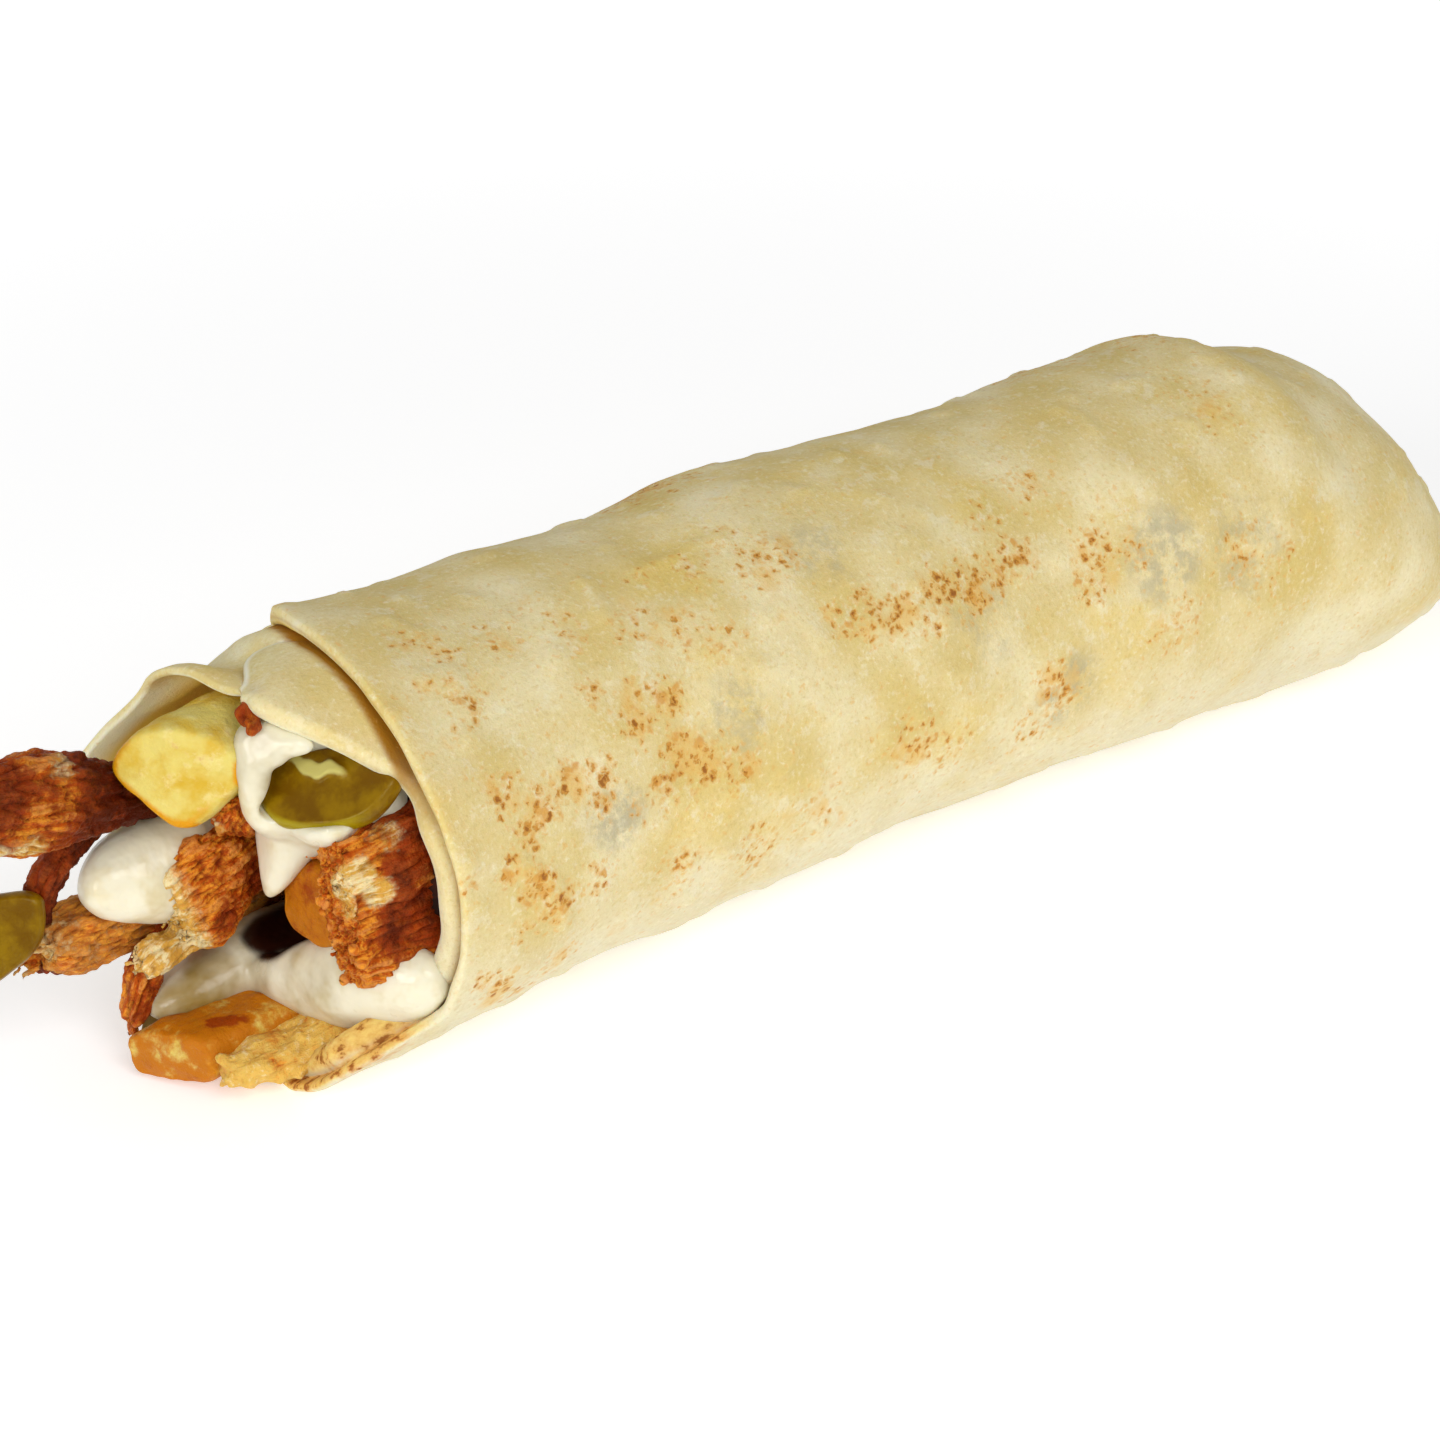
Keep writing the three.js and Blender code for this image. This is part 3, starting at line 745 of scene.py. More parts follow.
# Clusters of freckles from the griddle: x, angle, radius and strength.
TOASTED = [
    (20, 112, 4, 0.85), (50, 113, 5, 0.8), (44, 109, 4, 0.7), (24, 106, 4, 0.7), (57, 109, 5, 0.7),
    (9, 103, 3, 0.9), (12, 110, 4, 0.8), (11, 125, 4, 1.0), (7.5, 121, 3, 0.9), (9, 132, 3, 0.8),
    (10, 151, 4, 1.1), (15, 157, 4, 1.2), (12, 163, 3.5, 1.1), (20, 154, 4, 1.1), (24, 158, 4.5, 1.2),
    (37, 159, 5, 1.2), (41, 164, 5, 1.2), (33, 165, 3.5, 1.1), (45, 169, 4, 1.0), (29, 168, 3, 0.9),
    (9, 170, 3, 1.1), (12, 176, 4, 1.2), (15, 184, 4, 1.2), (10, 188, 3, 0.9), (32, 146, 4, 1.1),
    (37, 144, 4, 1.1), (33, 139, 3, 0.9), (29, 116, 5, 0.75), (38, 122, 5, 0.85), (48, 134, 5, 0.85),
    (42, 128, 6, 0.8), (27, 134, 4, 0.8), (22, 182, 4, 0.8), (62, 118, 5, 1.0), (57, 121, 4, 0.8),
    (70, 144, 5, 1.25), (75, 145, 4, 1.2), (66, 141, 4, 0.9), (82, 144, 4, 1.3), (87, 146, 5, 1.3),
    (92, 143, 4, 1.2), (97, 141, 4, 1.2), (79, 150, 4, 0.9), (109, 147, 5, 1.1), (107, 155, 5, 0.9),
    (115, 150, 4, 0.8), (95, 128, 5, 0.7), (104, 122, 7, 0.7), (74, 182, 6, 1.0), (80, 188, 5, 0.8),
    (99, 183, 6, 1.0), (95, 192, 5, 0.8), (48, 196, 6, 0.8), (35, 191, 5, 0.8), (58, 190, 6, 0.7),
    (133, 162, 6, 0.9), (140, 168, 6, 0.7), (139, 116, 7, 0.7), (145, 75, 8, 0.7), (120, 175, 7, 0.7),
    (8, 206, 4, 1.1), (5, 200, 3, 1.0), (12, 212, 4, 0.9), (2, 170, 2.5, 0.9), (17, 205, 5, 0.7),
    (60, 60, 12, 1.0), (72, 52, 8, 1.1), (100, 20, 13, 1.1), (86, 30, 8, 0.9), (40, -10, 11, 1.1),
    (30, 15, 8, 0.9), (130, 60, 11, 0.9), (150, -20, 12, 1.0), (118, -30, 10, 0.9), (165, 40, 9, 0.9),
]
# Patches where the bread is thin and grey: place on the skin as x and angle, radius and strength.
GLASSY = [(25.5, 167, 6, 1), (46, 155, 7, 0.7), (68, 122, 7, 0.6), (101, 183, 7, 1), (120, 154, 9, 0.9),
          (134, 160, 9, 0.6), (88, 155, 8, 0.5)]
# Browned spots on the rims of the inner turn and of the flap on the table: place, radius and strength.
SEARED = [
    ((-9, -17.5, 9), 3, 0.6), ((-6, -18.5, 8.5), 3, 0.6), ((-10.5, -16, 7.5), 3, 0.6),
    ((-3.5, -21, 9), 3, 0.5), ((-6.2, -0.7, 49.3), 1.5, 0.8), ((-7.9, -1.5, 48.9), 1.5, 0.8),
    ((-11.5, -20, 8.5), 3, 0.9), ((-8, -20.5, 9.5), 3, 1), ((-5.6, -20, 10), 3, 1),
    ((-3.3, -20.3, 10.4), 2.5, 0.9), ((-10.9, -9.7, 1.3), 2, 1), ((-12, -13, 3), 2, 1),
    ((-6.8, -16.7, 6.2), 2, 1), ((-5.3, -19.9, 7.6), 2, 0.9), ((-7.9, -15.2, 5.4), 1.5, 0.8),
]


def lie_on_roll(piece):
    """The bread's points, and for each its x, its angle, how deep it lies below the outside, and how far
    it faces out."""
    points = points_of(piece)
    x = points[:, 0]
    half_width, half_height, middle, bow = section_at(x)
    outwards = np.stack([points[:, 1] - bow, points[:, 2] - middle], -1)
    angle = np.degrees(np.arctan2(outwards[:, 1] / half_height, outwards[:, 0] / half_width)) % 360
    skin = roll_skin(x, angle)
    out = np.linalg.norm(outwards, axis=1)
    depth = np.hypot(skin[:, 1] - bow, skin[:, 2] - middle) - out
    facing = (read(piece.data.vertex_normals, "vector", 3)[:, 1:] * outwards).sum(1) / out
    return points, x, angle, depth, facing


def bread_relief(points, x, angle, depth):
    """Waves and blisters, slack at the lower front, and a fuller top near the mouth and the tuck."""
    on_skin = ramp(0.8, 0.3, depth) * ramp(0.2, 2.5, points[:, 2])
    waves = 0.45 * cloud(points, 15, 1) + 0.2 * cloud(points, 5.5, 2)
    blisters = 0.35 * ramp(0.3, 0.6, cloud(points, 4.2, 3))
    slack = -0.9 * bump(236, 34, angle) * ramp(6, 30, x) * ramp(150, 120, x)
    on_top = bump(66, 50, angle)
    full = 1.5 * bump(27, 18, x) * bump(64, 36, angle)
    full = full + 2.6 * bump(176, 16, x) * on_top - 0.8 * bump(156, 12, x) * on_top
    form = slack + full - 1.2 * bump(192, 10, x) * on_top
    form = form - 1.3 * ramp(176, 192, x) * bump(230, 50, angle)
    return on_skin * (waves + blisters + form) + (1 - on_skin) * 0.15 * cloud(points, 4, 4)


def toasted(points, x, angle):
    """How toasted the bread is: lightly all over, with the clusters of freckles."""
    toast = 0.2 + 0.15 * cloud(points, 9, 5)
    for at, turn, radius, strength in TOASTED:
        turned = (angle - turn + 180) % 360 - 180
        away = np.hypot(x - at, np.radians(turned) * ROUND_ROLL)
        toast = np.maximum(toast, strength * ramp(1.35 * radius, 0.25 * radius, away))
    return toast


def mark_skin(piece, points, x, angle, depth):
    """Marks where the bread is toasted, where it is thin and grey, and its lower side, dusted with flour and
    painted whiter as light from the white table.
    """
    spots = [(roll_skin(at, turn), radius, strength) for at, turn, radius, strength in GLASSY]
    mark(
        piece,
        toast=toasted(points, x, angle) * ramp(1.6, 0.8, depth),
        glassy=patched(points, spots),
        floury=ramp(175, 235, angle) * ramp(300, 250, angle),
    )


def mark_mouth(piece, points, x, angle, depth, facing):
    """Marks the rims and inner faces that show at the mouth, with painted light on the inner faces, a
    painted glow under the lip, toast on the flap, and painted shade in the gap between the layers.
    """
    under = ramp(0.0, -0.6, facing) * ramp(4, 0, x)
    on_flap = ramp(205, 218, angle) * ramp(275, 262, angle) * ramp(-0.5, -2, x) * ramp(0.7, 0.1, facing)
    under_lip = under * ramp(1.5, 7, x - lip_rim(angle)) * ramp(90, 84, angle)
    gap = ramp(0.5, 1.0, depth) * between(1, ramp(2.4, 1.6, depth), ramp(128, 160, angle))
    near_rim = ramp(-1.2, -0.2, x - outer_rim(angle)) * ramp(-0.2, 0.3, facing)
    end_at = COLLAR_END + 1.5 + collar_skew(x)
    mark(
        piece,
        seared=np.maximum(patched(points, SEARED), 0.8 * on_flap),
        # painted light: pale cream on the inner faces at the mouth
        inside=under * ramp(2.4, 3.4, depth) * (1 - on_flap),
        # painted glow under the lip, light through the thin bread, and toast on the flap
        golden=np.maximum(under_lip, 0.7 * on_flap),
        # painted shade: a thin warm line in the gap under the outer rim
        fold=gap * near_rim * ramp(225, 205, angle),
        rolled=bump(end_at, 2.6, angle) * ramp(1.5, -0.5, x) * ramp(4.5, 3.5, depth),
    )


def flatbread():
    piece = joined("flatbread_baked", [outer_layer(), collar(), lip()])
    points, x, angle, depth, facing = lie_on_roll(piece)
    emboss(piece, bread_relief(points, x, angle, depth))
    mark_skin(piece, points, x, angle, depth)
    mark_mouth(piece, points, x, angle, depth, facing)
    set_out(piece, bread_finish(), "bread", "flatbread")


# Lofted pieces. Each follows a curve of three points, its spine, with a section across it.


def strip(tail, bend, front, width, thick, roll=0.0, **other):
    """The sizes of a piece that runs along a curve of three points, with roll in degrees."""
    tail, bend, front = (np.array(place, float) for place in (tail, bend, front))
    roll = math.radians(roll)
    return SimpleNamespace(tail=tail, bend=bend, front=front, width=width, thick=thick, roll=roll, **other)


def length_of(sizes):
    return np.linalg.norm(sizes.bend - sizes.tail) + np.linalg.norm(sizes.front - sizes.bend)


def off_spine(sizes, out, angle):
    """How far sideways and upwards from the spine a share out of the section lies."""
    return out * np.cos(angle) * sizes.width / 2, out * np.sin(angle) * sizes.thick / 2


def spine(sizes, t):
    """The middle, direction, side and up of a piece at shares t of its length."""
    t = np.asarray(t, float)[..., None]
    tail, bend, front = sizes.tail, sizes.bend, sizes.front
    middle = (1 - t) ** 2 * tail + 2 * (1 - t) * t * bend + t * t * front
    along = (1 - t) * (bend - tail) + t * (front - bend)
    along /= np.linalg.norm(along, axis=-1, keepdims=True)
    side = np.cross((0, 0, 1), along)
    side /= np.linalg.norm(side, axis=-1, keepdims=True)
    up = np.cross(along, side)
    cos, sin = math.cos(sizes.roll), math.sin(sizes.roll)
    return middle, along, side * cos + up * sin, up * cos - side * sin


def beside(middle, side, up, across, upward):
    """Points that lie across and upward from middle."""
    return middle + side * across[..., None] + up * upward[..., None]


def loft(sizes, rows, sides, reach, push=None):
    """A closed shell round the spine. rows are (t, share of the section), reach(t, angle) scales the
    section, and push(t, share, angle) moves a point along the spine."""
    t, share = np.array(rows).T
    middle, along, side, up = (part[:, None] for part in spine(sizes, t))
    angle = circle(sides)
    scale = share[:, None] * reach(t[:, None], angle)
    moved = push(t[:, None], share[:, None], angle) if push else 0 * scale
    across = np.cos(angle) * sizes.width / 2 * scale
    upward = np.sin(angle) * sizes.thick / 2 * scale
    return shell_from_rings(beside(middle, side, up, across, upward) + along * moved[..., None])


# Fries

# square is how boxy the section is, crisp how rough the skin is, and the brown value how dark it is, from
# browning and, on the middle fry, painted shade. slant leans the cut across the fry and up it and moves it
# back, and worn rubs one long corner off.
FRIES = {
    "fry_top": strip((34, 13, 31), (0, 10, 40.6), (-20.8, -1.6, 41.9), 12.5, 12.5, 45, square=4.5, seed=7,
                     crisp=0.05, brown=0.05, slant=(0.2, -0.2, 2.2), worn=0.28),
    # darker: browned, and in painted shade deep in the mouth
    "fry_middle": strip((38, 0, 20), (15, -4, 21), (-6.5, -7, 22.8), 9.5, 10.5, 5, square=4, seed=8,
                        crisp=0.1, brown=1.05, slant=(0, 0, 0), worn=0),
    "fry_bottom": strip((34, -3, 10), (4, -1, 6.6), (-24.6, 0.9, 3.8), 11, 6.6, 6, square=3.2, seed=9,
                        crisp=0.25, brown=0.85, slant=(0.5, 0.05, 2.4), worn=0),
}

# Browned spots on the fries, and whitish spots along the top fry's upper edge: place, radius and strength.
BROWNED = [
    ((-15.5, -2.5, 8.2), 1.5, 0.9), ((-17, -1.8, 8.2), 1.3, 0.9), ((-13.8, -3.4, 8.4), 1.2, 0.8),
    ((-12, 1, 49.6), 2.6, 0.9),
]
SMEARED = [((-15, -2.5, 48.2), 2, 0.8), ((-16.8, -3.2, 47.2), 2.2, 1), ((-15.6, -4.8, 47), 2, 1)]


def fry_shell(sizes):
    """A fry with softened corners and ends, and the slanted cut at its front."""
    soft = 2.6 / np.linalg.norm(sizes.front - sizes.tail)
    ends = np.linspace(0, 1, 9)
    start = [(0, share) for share in (0.08, 0.3, 0.55, 0.8)]
    body = [*(soft * ends), *np.linspace(soft, 1 - soft, 60)[1:-1], *(1 - soft * ends[::-1])]
    rows = start + [(t, 1) for t in body] + [(1, share) for share in (0.94, 0.85, 0.7, 0.5, 0.3, 0.1)]
    sideways, upwards, back = sizes.slant

    def reach(t, angle):
        from_end = np.minimum(1, np.minimum(t, 1 - t) / soft)
        tapered = 0.88 + 0.12 * np.sqrt(1 - (1 - from_end) ** 2)
        lumps = 1 + 0.04 * uneven(sizes.seed, t * 6, angle * 2)
        worn = 1 - sizes.worn * bump(math.pi / 4, 0.9, angle)
        return squareness(angle, sizes.square) * tapered * lumps * worn

    def push(t, share, angle):
        domed = np.where(t == 1, 0.5, -0.5) * (1 - share) * np.where((t == 0) | (t == 1), 1, 0)
        from_axis = squareness(angle, sizes.square) * share / 2
        side = np.cos(angle) * sizes.width * from_axis
        up = np.sin(angle) * sizes.thick * from_axis
        return domed - (sideways * side + upwards * up + back) * ramp(0.7, 1, t)

    return loft(sizes, rows, 80, reach, push)


def fry_edges(sizes, points):
    """1 on the lower corners of a fry and round its cut."""
    t, out, angle = along_spine(sizes, points)
    sideways, upwards, back = sizes.slant
    corner = ramp(0.75, 1, np.abs(np.sin(2 * angle))) * ramp(0.9, 1.1, out)
    across, upward = off_spine(sizes, out, angle)
    from_cut = (1 - t) * length_of(sizes) - sideways * across - upwards * upward - back
    end = ramp(0.68, 0.98, out / squareness(angle, sizes.square)) * ramp(2, 0.3, from_cut)
    return np.maximum(corner, end) * ramp(1.1, -0.2, np.sin(angle + sizes.roll))


def fry(name, material):
    sizes = FRIES[name]
    seed = sizes.seed
    piece = new_piece(f"{name}_fried", [fry_shell(sizes)])
    points = points_of(piece)
    fine = sizes.crisp * cloud(points, 1.6, seed) + 0.2 * cloud(points, 2.6, seed)
    emboss(piece, fine + 0.35 * cloud(points, 6, seed + 1))
    mark(
        piece,
        edge=fry_edges(sizes, points),
        brown=sizes.brown + 0.3 * cloud(points, 5, seed + 2) + patched(points, BROWNED),
        smear=patched(points, SMEARED),
    )
    set_out(piece, material, "fry", name)


def along_spine(sizes, points):
    """For points near a strip: the share of its length, and the share out from its spine with the angle."""
    t = np.linspace(-0.1, 1.15, 160)
    middle, along, side, up = spine(sizes, t)
    nearest = np.concatenate([
        np.argmin(((part[:, None] - middle) ** 2).sum(-1), 1) for part in np.array_split(points, 24)
    ])
    away = points - middle[nearest]
    across = (away * side[nearest]).sum(1) / (sizes.width / 2)
    upward = (away * up[nearest]).sum(1) / (sizes.thick / 2)
    on_from = (away * along[nearest]).sum(1) / length_of(sizes)
    return t[nearest] + on_from, np.hypot(across, upward), np.arctan2(upward, across)


# Chicken


def meat(*places, taper=0.7, inner=1.0, glazed=0.0, **other):
    """A strip of chicken. taper and inner are how narrow it gets at its front and deep in the roll, fibre is
    how wide its bundles are and torn how long its frayed end is. The char, pale and glazed values colour it,
    and the char value darkens it both as charring and as painted shade."""
    return strip(*places, taper=taper, inner=inner, glazed=glazed, **other)


CHICKEN = {
    "chicken_left": [
        meat((32, 13, 24), (-10, 14.5, 30.6), (-46, -0.5, 45.4), 8.5, 13, 10, inner=0.3, seed=1,
             char=0.42, fibre=1.3, torn=3, pale=0.5),
    ],
    "chicken_middle": [
        meat((32, 5, 28), (-4, 4.7, 27.2), (-19.6, 3.8, 21.4), 8, 15.5, 0, inner=0.45, taper=0.8, seed=4,
             char=0, fibre=1.1, torn=5, pale=1),
        meat((-12, 4.5, 18.5), (-19, 4.6, 15.8), (-23.6, 5.4, 14.8), 5, 3.6, 0, taper=0.4, seed=5,
             char=0, fibre=1.1, torn=4, pale=1),
        meat((-6, 3, 30), (-13, 0.5, 31.5), (-12.9, -2.8, 37), 4.4, 3.4, 0, taper=0.3, seed=9,
             char=0.3, fibre=1.1, torn=1, pale=0.1),
    ],
    "chicken_low": [
        meat((8, 14, 14), (-14, 12.5, 17), (-35, 8.6, 20), 7, 8.6, -12, seed=3,
             char=0.28, fibre=1.2, torn=6, pale=0.4, glazed=0.2),
        meat((-17, 12, 33), (-33, 8.5, 33), (-33, 9, 22), 3, 3.6, 0, seed=8,
             char=1.0, fibre=1.1, torn=1, pale=0),
    ],
    "chicken_shard": [
        meat((-13, 10, 18), (-22, 7, 15.5), (-22.3, 8.8, 3), 3.7, 3.2, 0, taper=0.2, seed=5,
             char=0.4, fibre=1.1, torn=2, pale=0),
    ],
    "chicken_right": [
        meat((40, -10, 27), (12, -16.4, 26.5), (-8.2, -15.5, 25), 9.5, 23, 4, taper=0.85, seed=6,
             char=0.2, fibre=1.3, torn=3, pale=0),
    ],
    "chicken_bottom": [
        meat((14, -10, 9.5), (-7, -9.4, 4.8), (-18.8, -4.9, 3.9), 8.5, 5, 4, seed=2,
             char=-0.1, fibre=3.4, torn=1.5, pale=0.3, glazed=0.9),
    ],
}
# Spots of torn pale meat, of meat darkened by burning and by painted shade, and dents, darkened with painted
# shade: place, radius and strength.
PALE = {
    "chicken_left": [((-44, -2, 37), 6, 0.8), ((-38, -1.5, 37), 4.5, 0.7), ((-31.4, 2.8, 45.4), 3.5, 0.5)],
    "chicken_middle": [((-18.5, 2.5, 16.7), 6, 0.9), ((-22.2, 3.3, 15.7), 6, 1), ((-20.5, 5, 23), 5, 0.7),
                       ((-14.5, -0.8, 32.5), 2.5, 0.6)],
    "chicken_low": [((-34.9, 7.1, 19.5), 4, 0.6)],
    "chicken_right": [((-6.5, -17.8, 31.2), 3.4, 1), ((-4.5, -18.8, 28.8), 3, 0.9),
                      ((-8.2, -16.8, 29.4), 3, 0.9), ((-2.6, -18.1, 35.1), 3.5, 0.5),
                      ((-7, -17.5, 27), 2.5, 0.7)],
    "chicken_bottom": [((-17, -7, 6), 6, 0.7), ((-11, -10, 6), 14, 0.5)],
}
CHARRED = {
    "chicken_left": [((-23, 2, 43), 10, 0.6), ((-22, 3, 34), 13, 0.7), ((-42, 1, 47), 8, 0.4)],
    "chicken_middle": [((-12, 0, 20), 5, 0.5), ((-8, -0.2, 23), 6, 0.6), ((-14, -0.5, 27), 3, 0.5)],
    "chicken_right": [((0, -17, 36), 6, 0.5), ((-0.5, -20, 24), 6, 0.7), ((0, -20, 31), 6, 0.5)],
}
DENTED = {"chicken_middle": [((-15.8, -0.8, 28.4), 1.6, 1)]}


def meat_reach(sizes, t, angle):
    """The strip's section: lumpy, narrower deep in the roll, and drawn in at its front."""
    lumps = 1 + 0.13 * uneven(sizes.seed, t * 9, angle * 2)
    front = 1 - (1 - sizes.taper) * ramp(0.82, 1, t)
    back = between(sizes.inner, 1, ramp(0.5, 0.95, t))
    start = 0.6 + 0.4 * ramp(0, 0.3, t)
    return squareness(angle, 2.7) * lumps * front * back * start


def frayed_fibre(sizes, draw):
    """One thin fibre that runs out of the torn end of a strip and curls off to a point."""
    length = length_of(sizes)
    angle = draw.uniform(0, 2 * math.pi)
    depth = 0.94 * math.sqrt(draw.uniform(0.02, 1))
    end = 1 + draw.uniform(-0.7, 0.5) * 0.5 * sizes.torn / length
    t = np.linspace(end - 9 / length, end, 16)
    tip = np.clip((end - t) * length / draw.uniform(2.5, 5), 0, 1)
    thick = sizes.fibre * draw.uniform(0.26, 0.44) * (0.3 + 0.7 * np.sqrt(1 - (1 - tip) ** 2))
    curl = draw.uniform(-1.3, 1.3, 2)[:, None] * (1 - tip) ** 2
    middle, _, side, up = spine(sizes, t)
    out = meat_reach(sizes, np.minimum(t, 1), angle) * depth
    across = math.cos(angle) * np.maximum(sizes.width / 2 * out - thick * 0.6, 0) + curl[0]
    upward = math.sin(angle) * np.maximum(sizes.thick / 2 * out - thick * 0.6, 0) + curl[1]
    centre = beside(middle, side, up, across, upward)
    ring = circle(10)
    across, upward = (wave * thick[:, None] for wave in (np.cos(ring), np.sin(ring)))
    rings = beside(centre[:, None], side[:, None], up[:, None], across, upward)
    return shell_from_rings(rings, centre[0], centre[-1])


def meat_shells(sizes):
    """The shells of one strip: its body, and the fibres that fray out where it was torn."""
    draw = np.random.default_rng(sizes.seed)
    body_end = 1 - 0.4 * sizes.torn / length_of(sizes)
    back = [(0, 0.1), (0, 0.5), (0.002, 0.8)]
    body = [(t, 1) for t in np.linspace(0.01, body_end, 60)]
    rounding = ((0.003, 0.93), (0.006, 0.8), (0.008, 0.5), (0.009, 0.1))
    front = [(body_end + out, share) for out, share in rounding]
    shells = [loft(sizes, back + body + front, 56, lambda t, angle: meat_reach(sizes, t, angle))]
    count = int(4 + 0.45 * sizes.width * sizes.thick)
    return shells + [frayed_fibre(sizes, draw) for _ in range(count)]


def grow_of_meat(strips, points):
    """At points of a piece of chicken, from the nearest of its strips: the place along and across the strip,
    the width of the bundles of fibre, how pale and glazed the meat is, and how dark it is from burning and
    painted shade."""
    found = [along_spine(sizes, points) for sizes in strips]
    nearest = np.argmin([out for _, out, _ in found], 0)
    run = np.zeros((len(points), 3))
    fibre, pale, char, glazed = np.zeros((4, len(points)))
    for index, (sizes, (t, out, angle)) in enumerate(zip(strips, found)):
        mine = nearest == index
        length = length_of(sizes)
        run[mine] = np.stack([t * length, *off_spine(sizes, out, angle)], -1)[mine]
        pale[mine] = (sizes.pale * ramp(sizes.torn * 1.5, 0, (1 - t) * length))[mine]
        char[mine] = sizes.char
        fibre[mine] = sizes.fibre
        glazed[mine] = sizes.glazed
    return run, fibre, pale, char, glazed


def meat_lumps(points, glazed, seed):
    """Lumps in the meat, and the crumbs of glaze on it."""
    lumps = 0.6 * cloud(points, 5, seed + 2) + 0.25 * cloud(points, 1.7, seed)
    lumps = lumps + 0.1 * cloud(points, 0.8, seed)
    crumbs = 0.5 * cloud(points, 2.4, seed + 5) + 0.4 * ramp(0.1, 0.6, cloud(points, 1.5, seed + 6))
    return lumps + glazed * crumbs + 0.5 * glazed


def chicken(name, material):
    strips = CHICKEN[name]
    seed = strips[0].seed
    piece = fused(f"{name}_grilled", [shell for sizes in strips for shell in meat_shells(sizes)], MEAT_GRAIN)
    place_points(piece, smoothed(piece, 2))
    points = points_of(piece)
    run, fibre, pale, char, glazed = grow_of_meat(strips, points)
    laid = run * (0.18, 1, 1) / fibre[:, None]
    bundles = ridges(laid, 1.0, seed)
    strands = ridges(laid * (0.7, 1, 1), 0.42, seed + 1)
    dents = patched(points, DENTED.get(name, []))
    fibrous = (1 - 0.6 * glazed) * (0.6 * bundles + 0.3 * strands)
    emboss(piece, fibrous + meat_lumps(points, glazed, seed) - 0.6 - 1.6 * dents)
    mark(
        piece,
        run=run,
        pale=np.maximum(pale, patched(points, PALE.get(name, []))),
        char=char + 0.2 * cloud(points, 5, seed + 3) + patched(points, CHARRED.get(name, [])),
        glazed=glazed,
        # where painted shade goes in grooves and dents, and painted highlight on the ridge tops
        groove=np.maximum(1 - 0.75 * bundles - 0.25 * strands, dents),
    )
    set_out(piece, material, "chicken", name)


# Garlic sauce

# Lobes of sauce: where one starts and ends, its width and height, and how much narrower its far end is.
LOBES = [
    # the mass between the pieces, and the smears that cling to the top fry
    ((12, -6, 34), (-9.5, -4.5, 36.5), 22, 17, 0),
    ((-4, -5, 43.5), (-13.5, -5.6, 44.5), 9, 6.5, 0),
    ((-6.5, 1.5, 45), (-5.5, -10.5, 44.5), 6, 6, 0),
    ((0, -4, 36), (-13.5, -6.2, 39.5), 9, 13, 0),
    # the tongue that hangs between the pieces, and what lies under the pickle
    ((-2, -3.4, 40), (-9.4, -2.8, 22.4), 13, 9, 0.7),
    ((-5, -4, 35), (-6.9, -16.1, 36.9), 8, 8, 0),
    # the smooth drop at the left
    ((6, 11, 23), (-28.8, 6, 26.4), 13.5, 14.4, 0),
    # the broad dollop at the lower right
    ((1, -24, 17), (-10.4, 8.4, 7.2), 11, 14, 0.82),
    ((12, -8, 12), (-9, -10, 12), 18, 10, 0),
    # the shaded lobe behind the lowest pieces
    ((6, 7, 12), (-21, 7, 7), 11, 8, 0),
]
# Lobes that cling to the right side of the top fry and run on over the pickle.
CLINGING = [
    ((-10.7, -4.2, 47), (-12.7, -7.0, 37), 4.4, 4.2, 0.1),
    ((-11, -4.5, 45), (-6.4, -11, 44.8), 3.6, 3.4, 0.1),
    ((-11.8, -6, 43.2), (-8.6, -8.6, 43.6), 3.2, 3.2, 0.1),
]
HOLLOW = ((22, -3, 18), (-11, 3, 14.8), 13, 8, 0)  # the dark gap over the lowest fry
# The shred of chicken stuck on the sauce.
SCRAP = ((-9.8, -2, 48.2), (-12.2, -7.2, 47.2), 2.6, 2, 0)
# Spots where juices tint the sauce, and where painted shade greys it beside and under the meat: place,
# radius and strength.
STAINED = [((-19, 2, 8.5), 8, 1), ((-10, 4, 9.5), 5, 0.5), ((-9.4, -10.5, 15.5), 5, 0.5),
           ((-8, -9, 13), 8, 0.42), ((-14, 3.5, 10.5), 6, 0.9), ((-10.5, 0.5, 10.5), 5, 0.7),
           ((-11.8, -6, 43.2), 6.5, 0.4)]


def lobe_sizes(start, end, wide, tall):
    """The sizes of a straight lobe."""
    return strip(start, (np.array(start) + np.array(end)) / 2, end, wide, tall)


def lobe(start, end, wide, tall, point):
    """A smooth lobe between two points. point is how much narrower it is at its far end."""
    t = 0.5 - 0.5 * np.cos(math.pi * np.linspace(0.03, 0.97, 48))
    rows = [(place, math.sqrt(4 * place * (1 - place)) * (1 - point * place * place)) for place in t]
    return loft(lobe_sizes(start, end, wide, tall), rows, 64, lambda t, angle: 1 + 0 * t * angle)


def in_hollow(points):
    """1 on the walls of the dark gap in the sauce and 0 away from it."""
    t, out, _ = along_spine(lobe_sizes(*HOLLOW[:4]), points)
    profile = np.sqrt(4 * np.clip(t, 0.02, 0.98) * (1 - np.clip(t, 0.02, 0.98)))
    return ramp(1.6, 1.15, out / profile + 0.12 * cloud(points, 3, 2)) * ramp(1.08, 0.99, t)


def under_pickle(points):
    """Presses the sauce down to where the top pickle lies in it."""
    sizes = PICKLES["pickle_top"]
    local, away = on_slice(sizes, points)
    local[:, 2] -= np.maximum(local[:, 2] - 0.6, 0) * ramp(1.07, 0.97, away)
    return local @ sizes.turn.T + sizes.middle


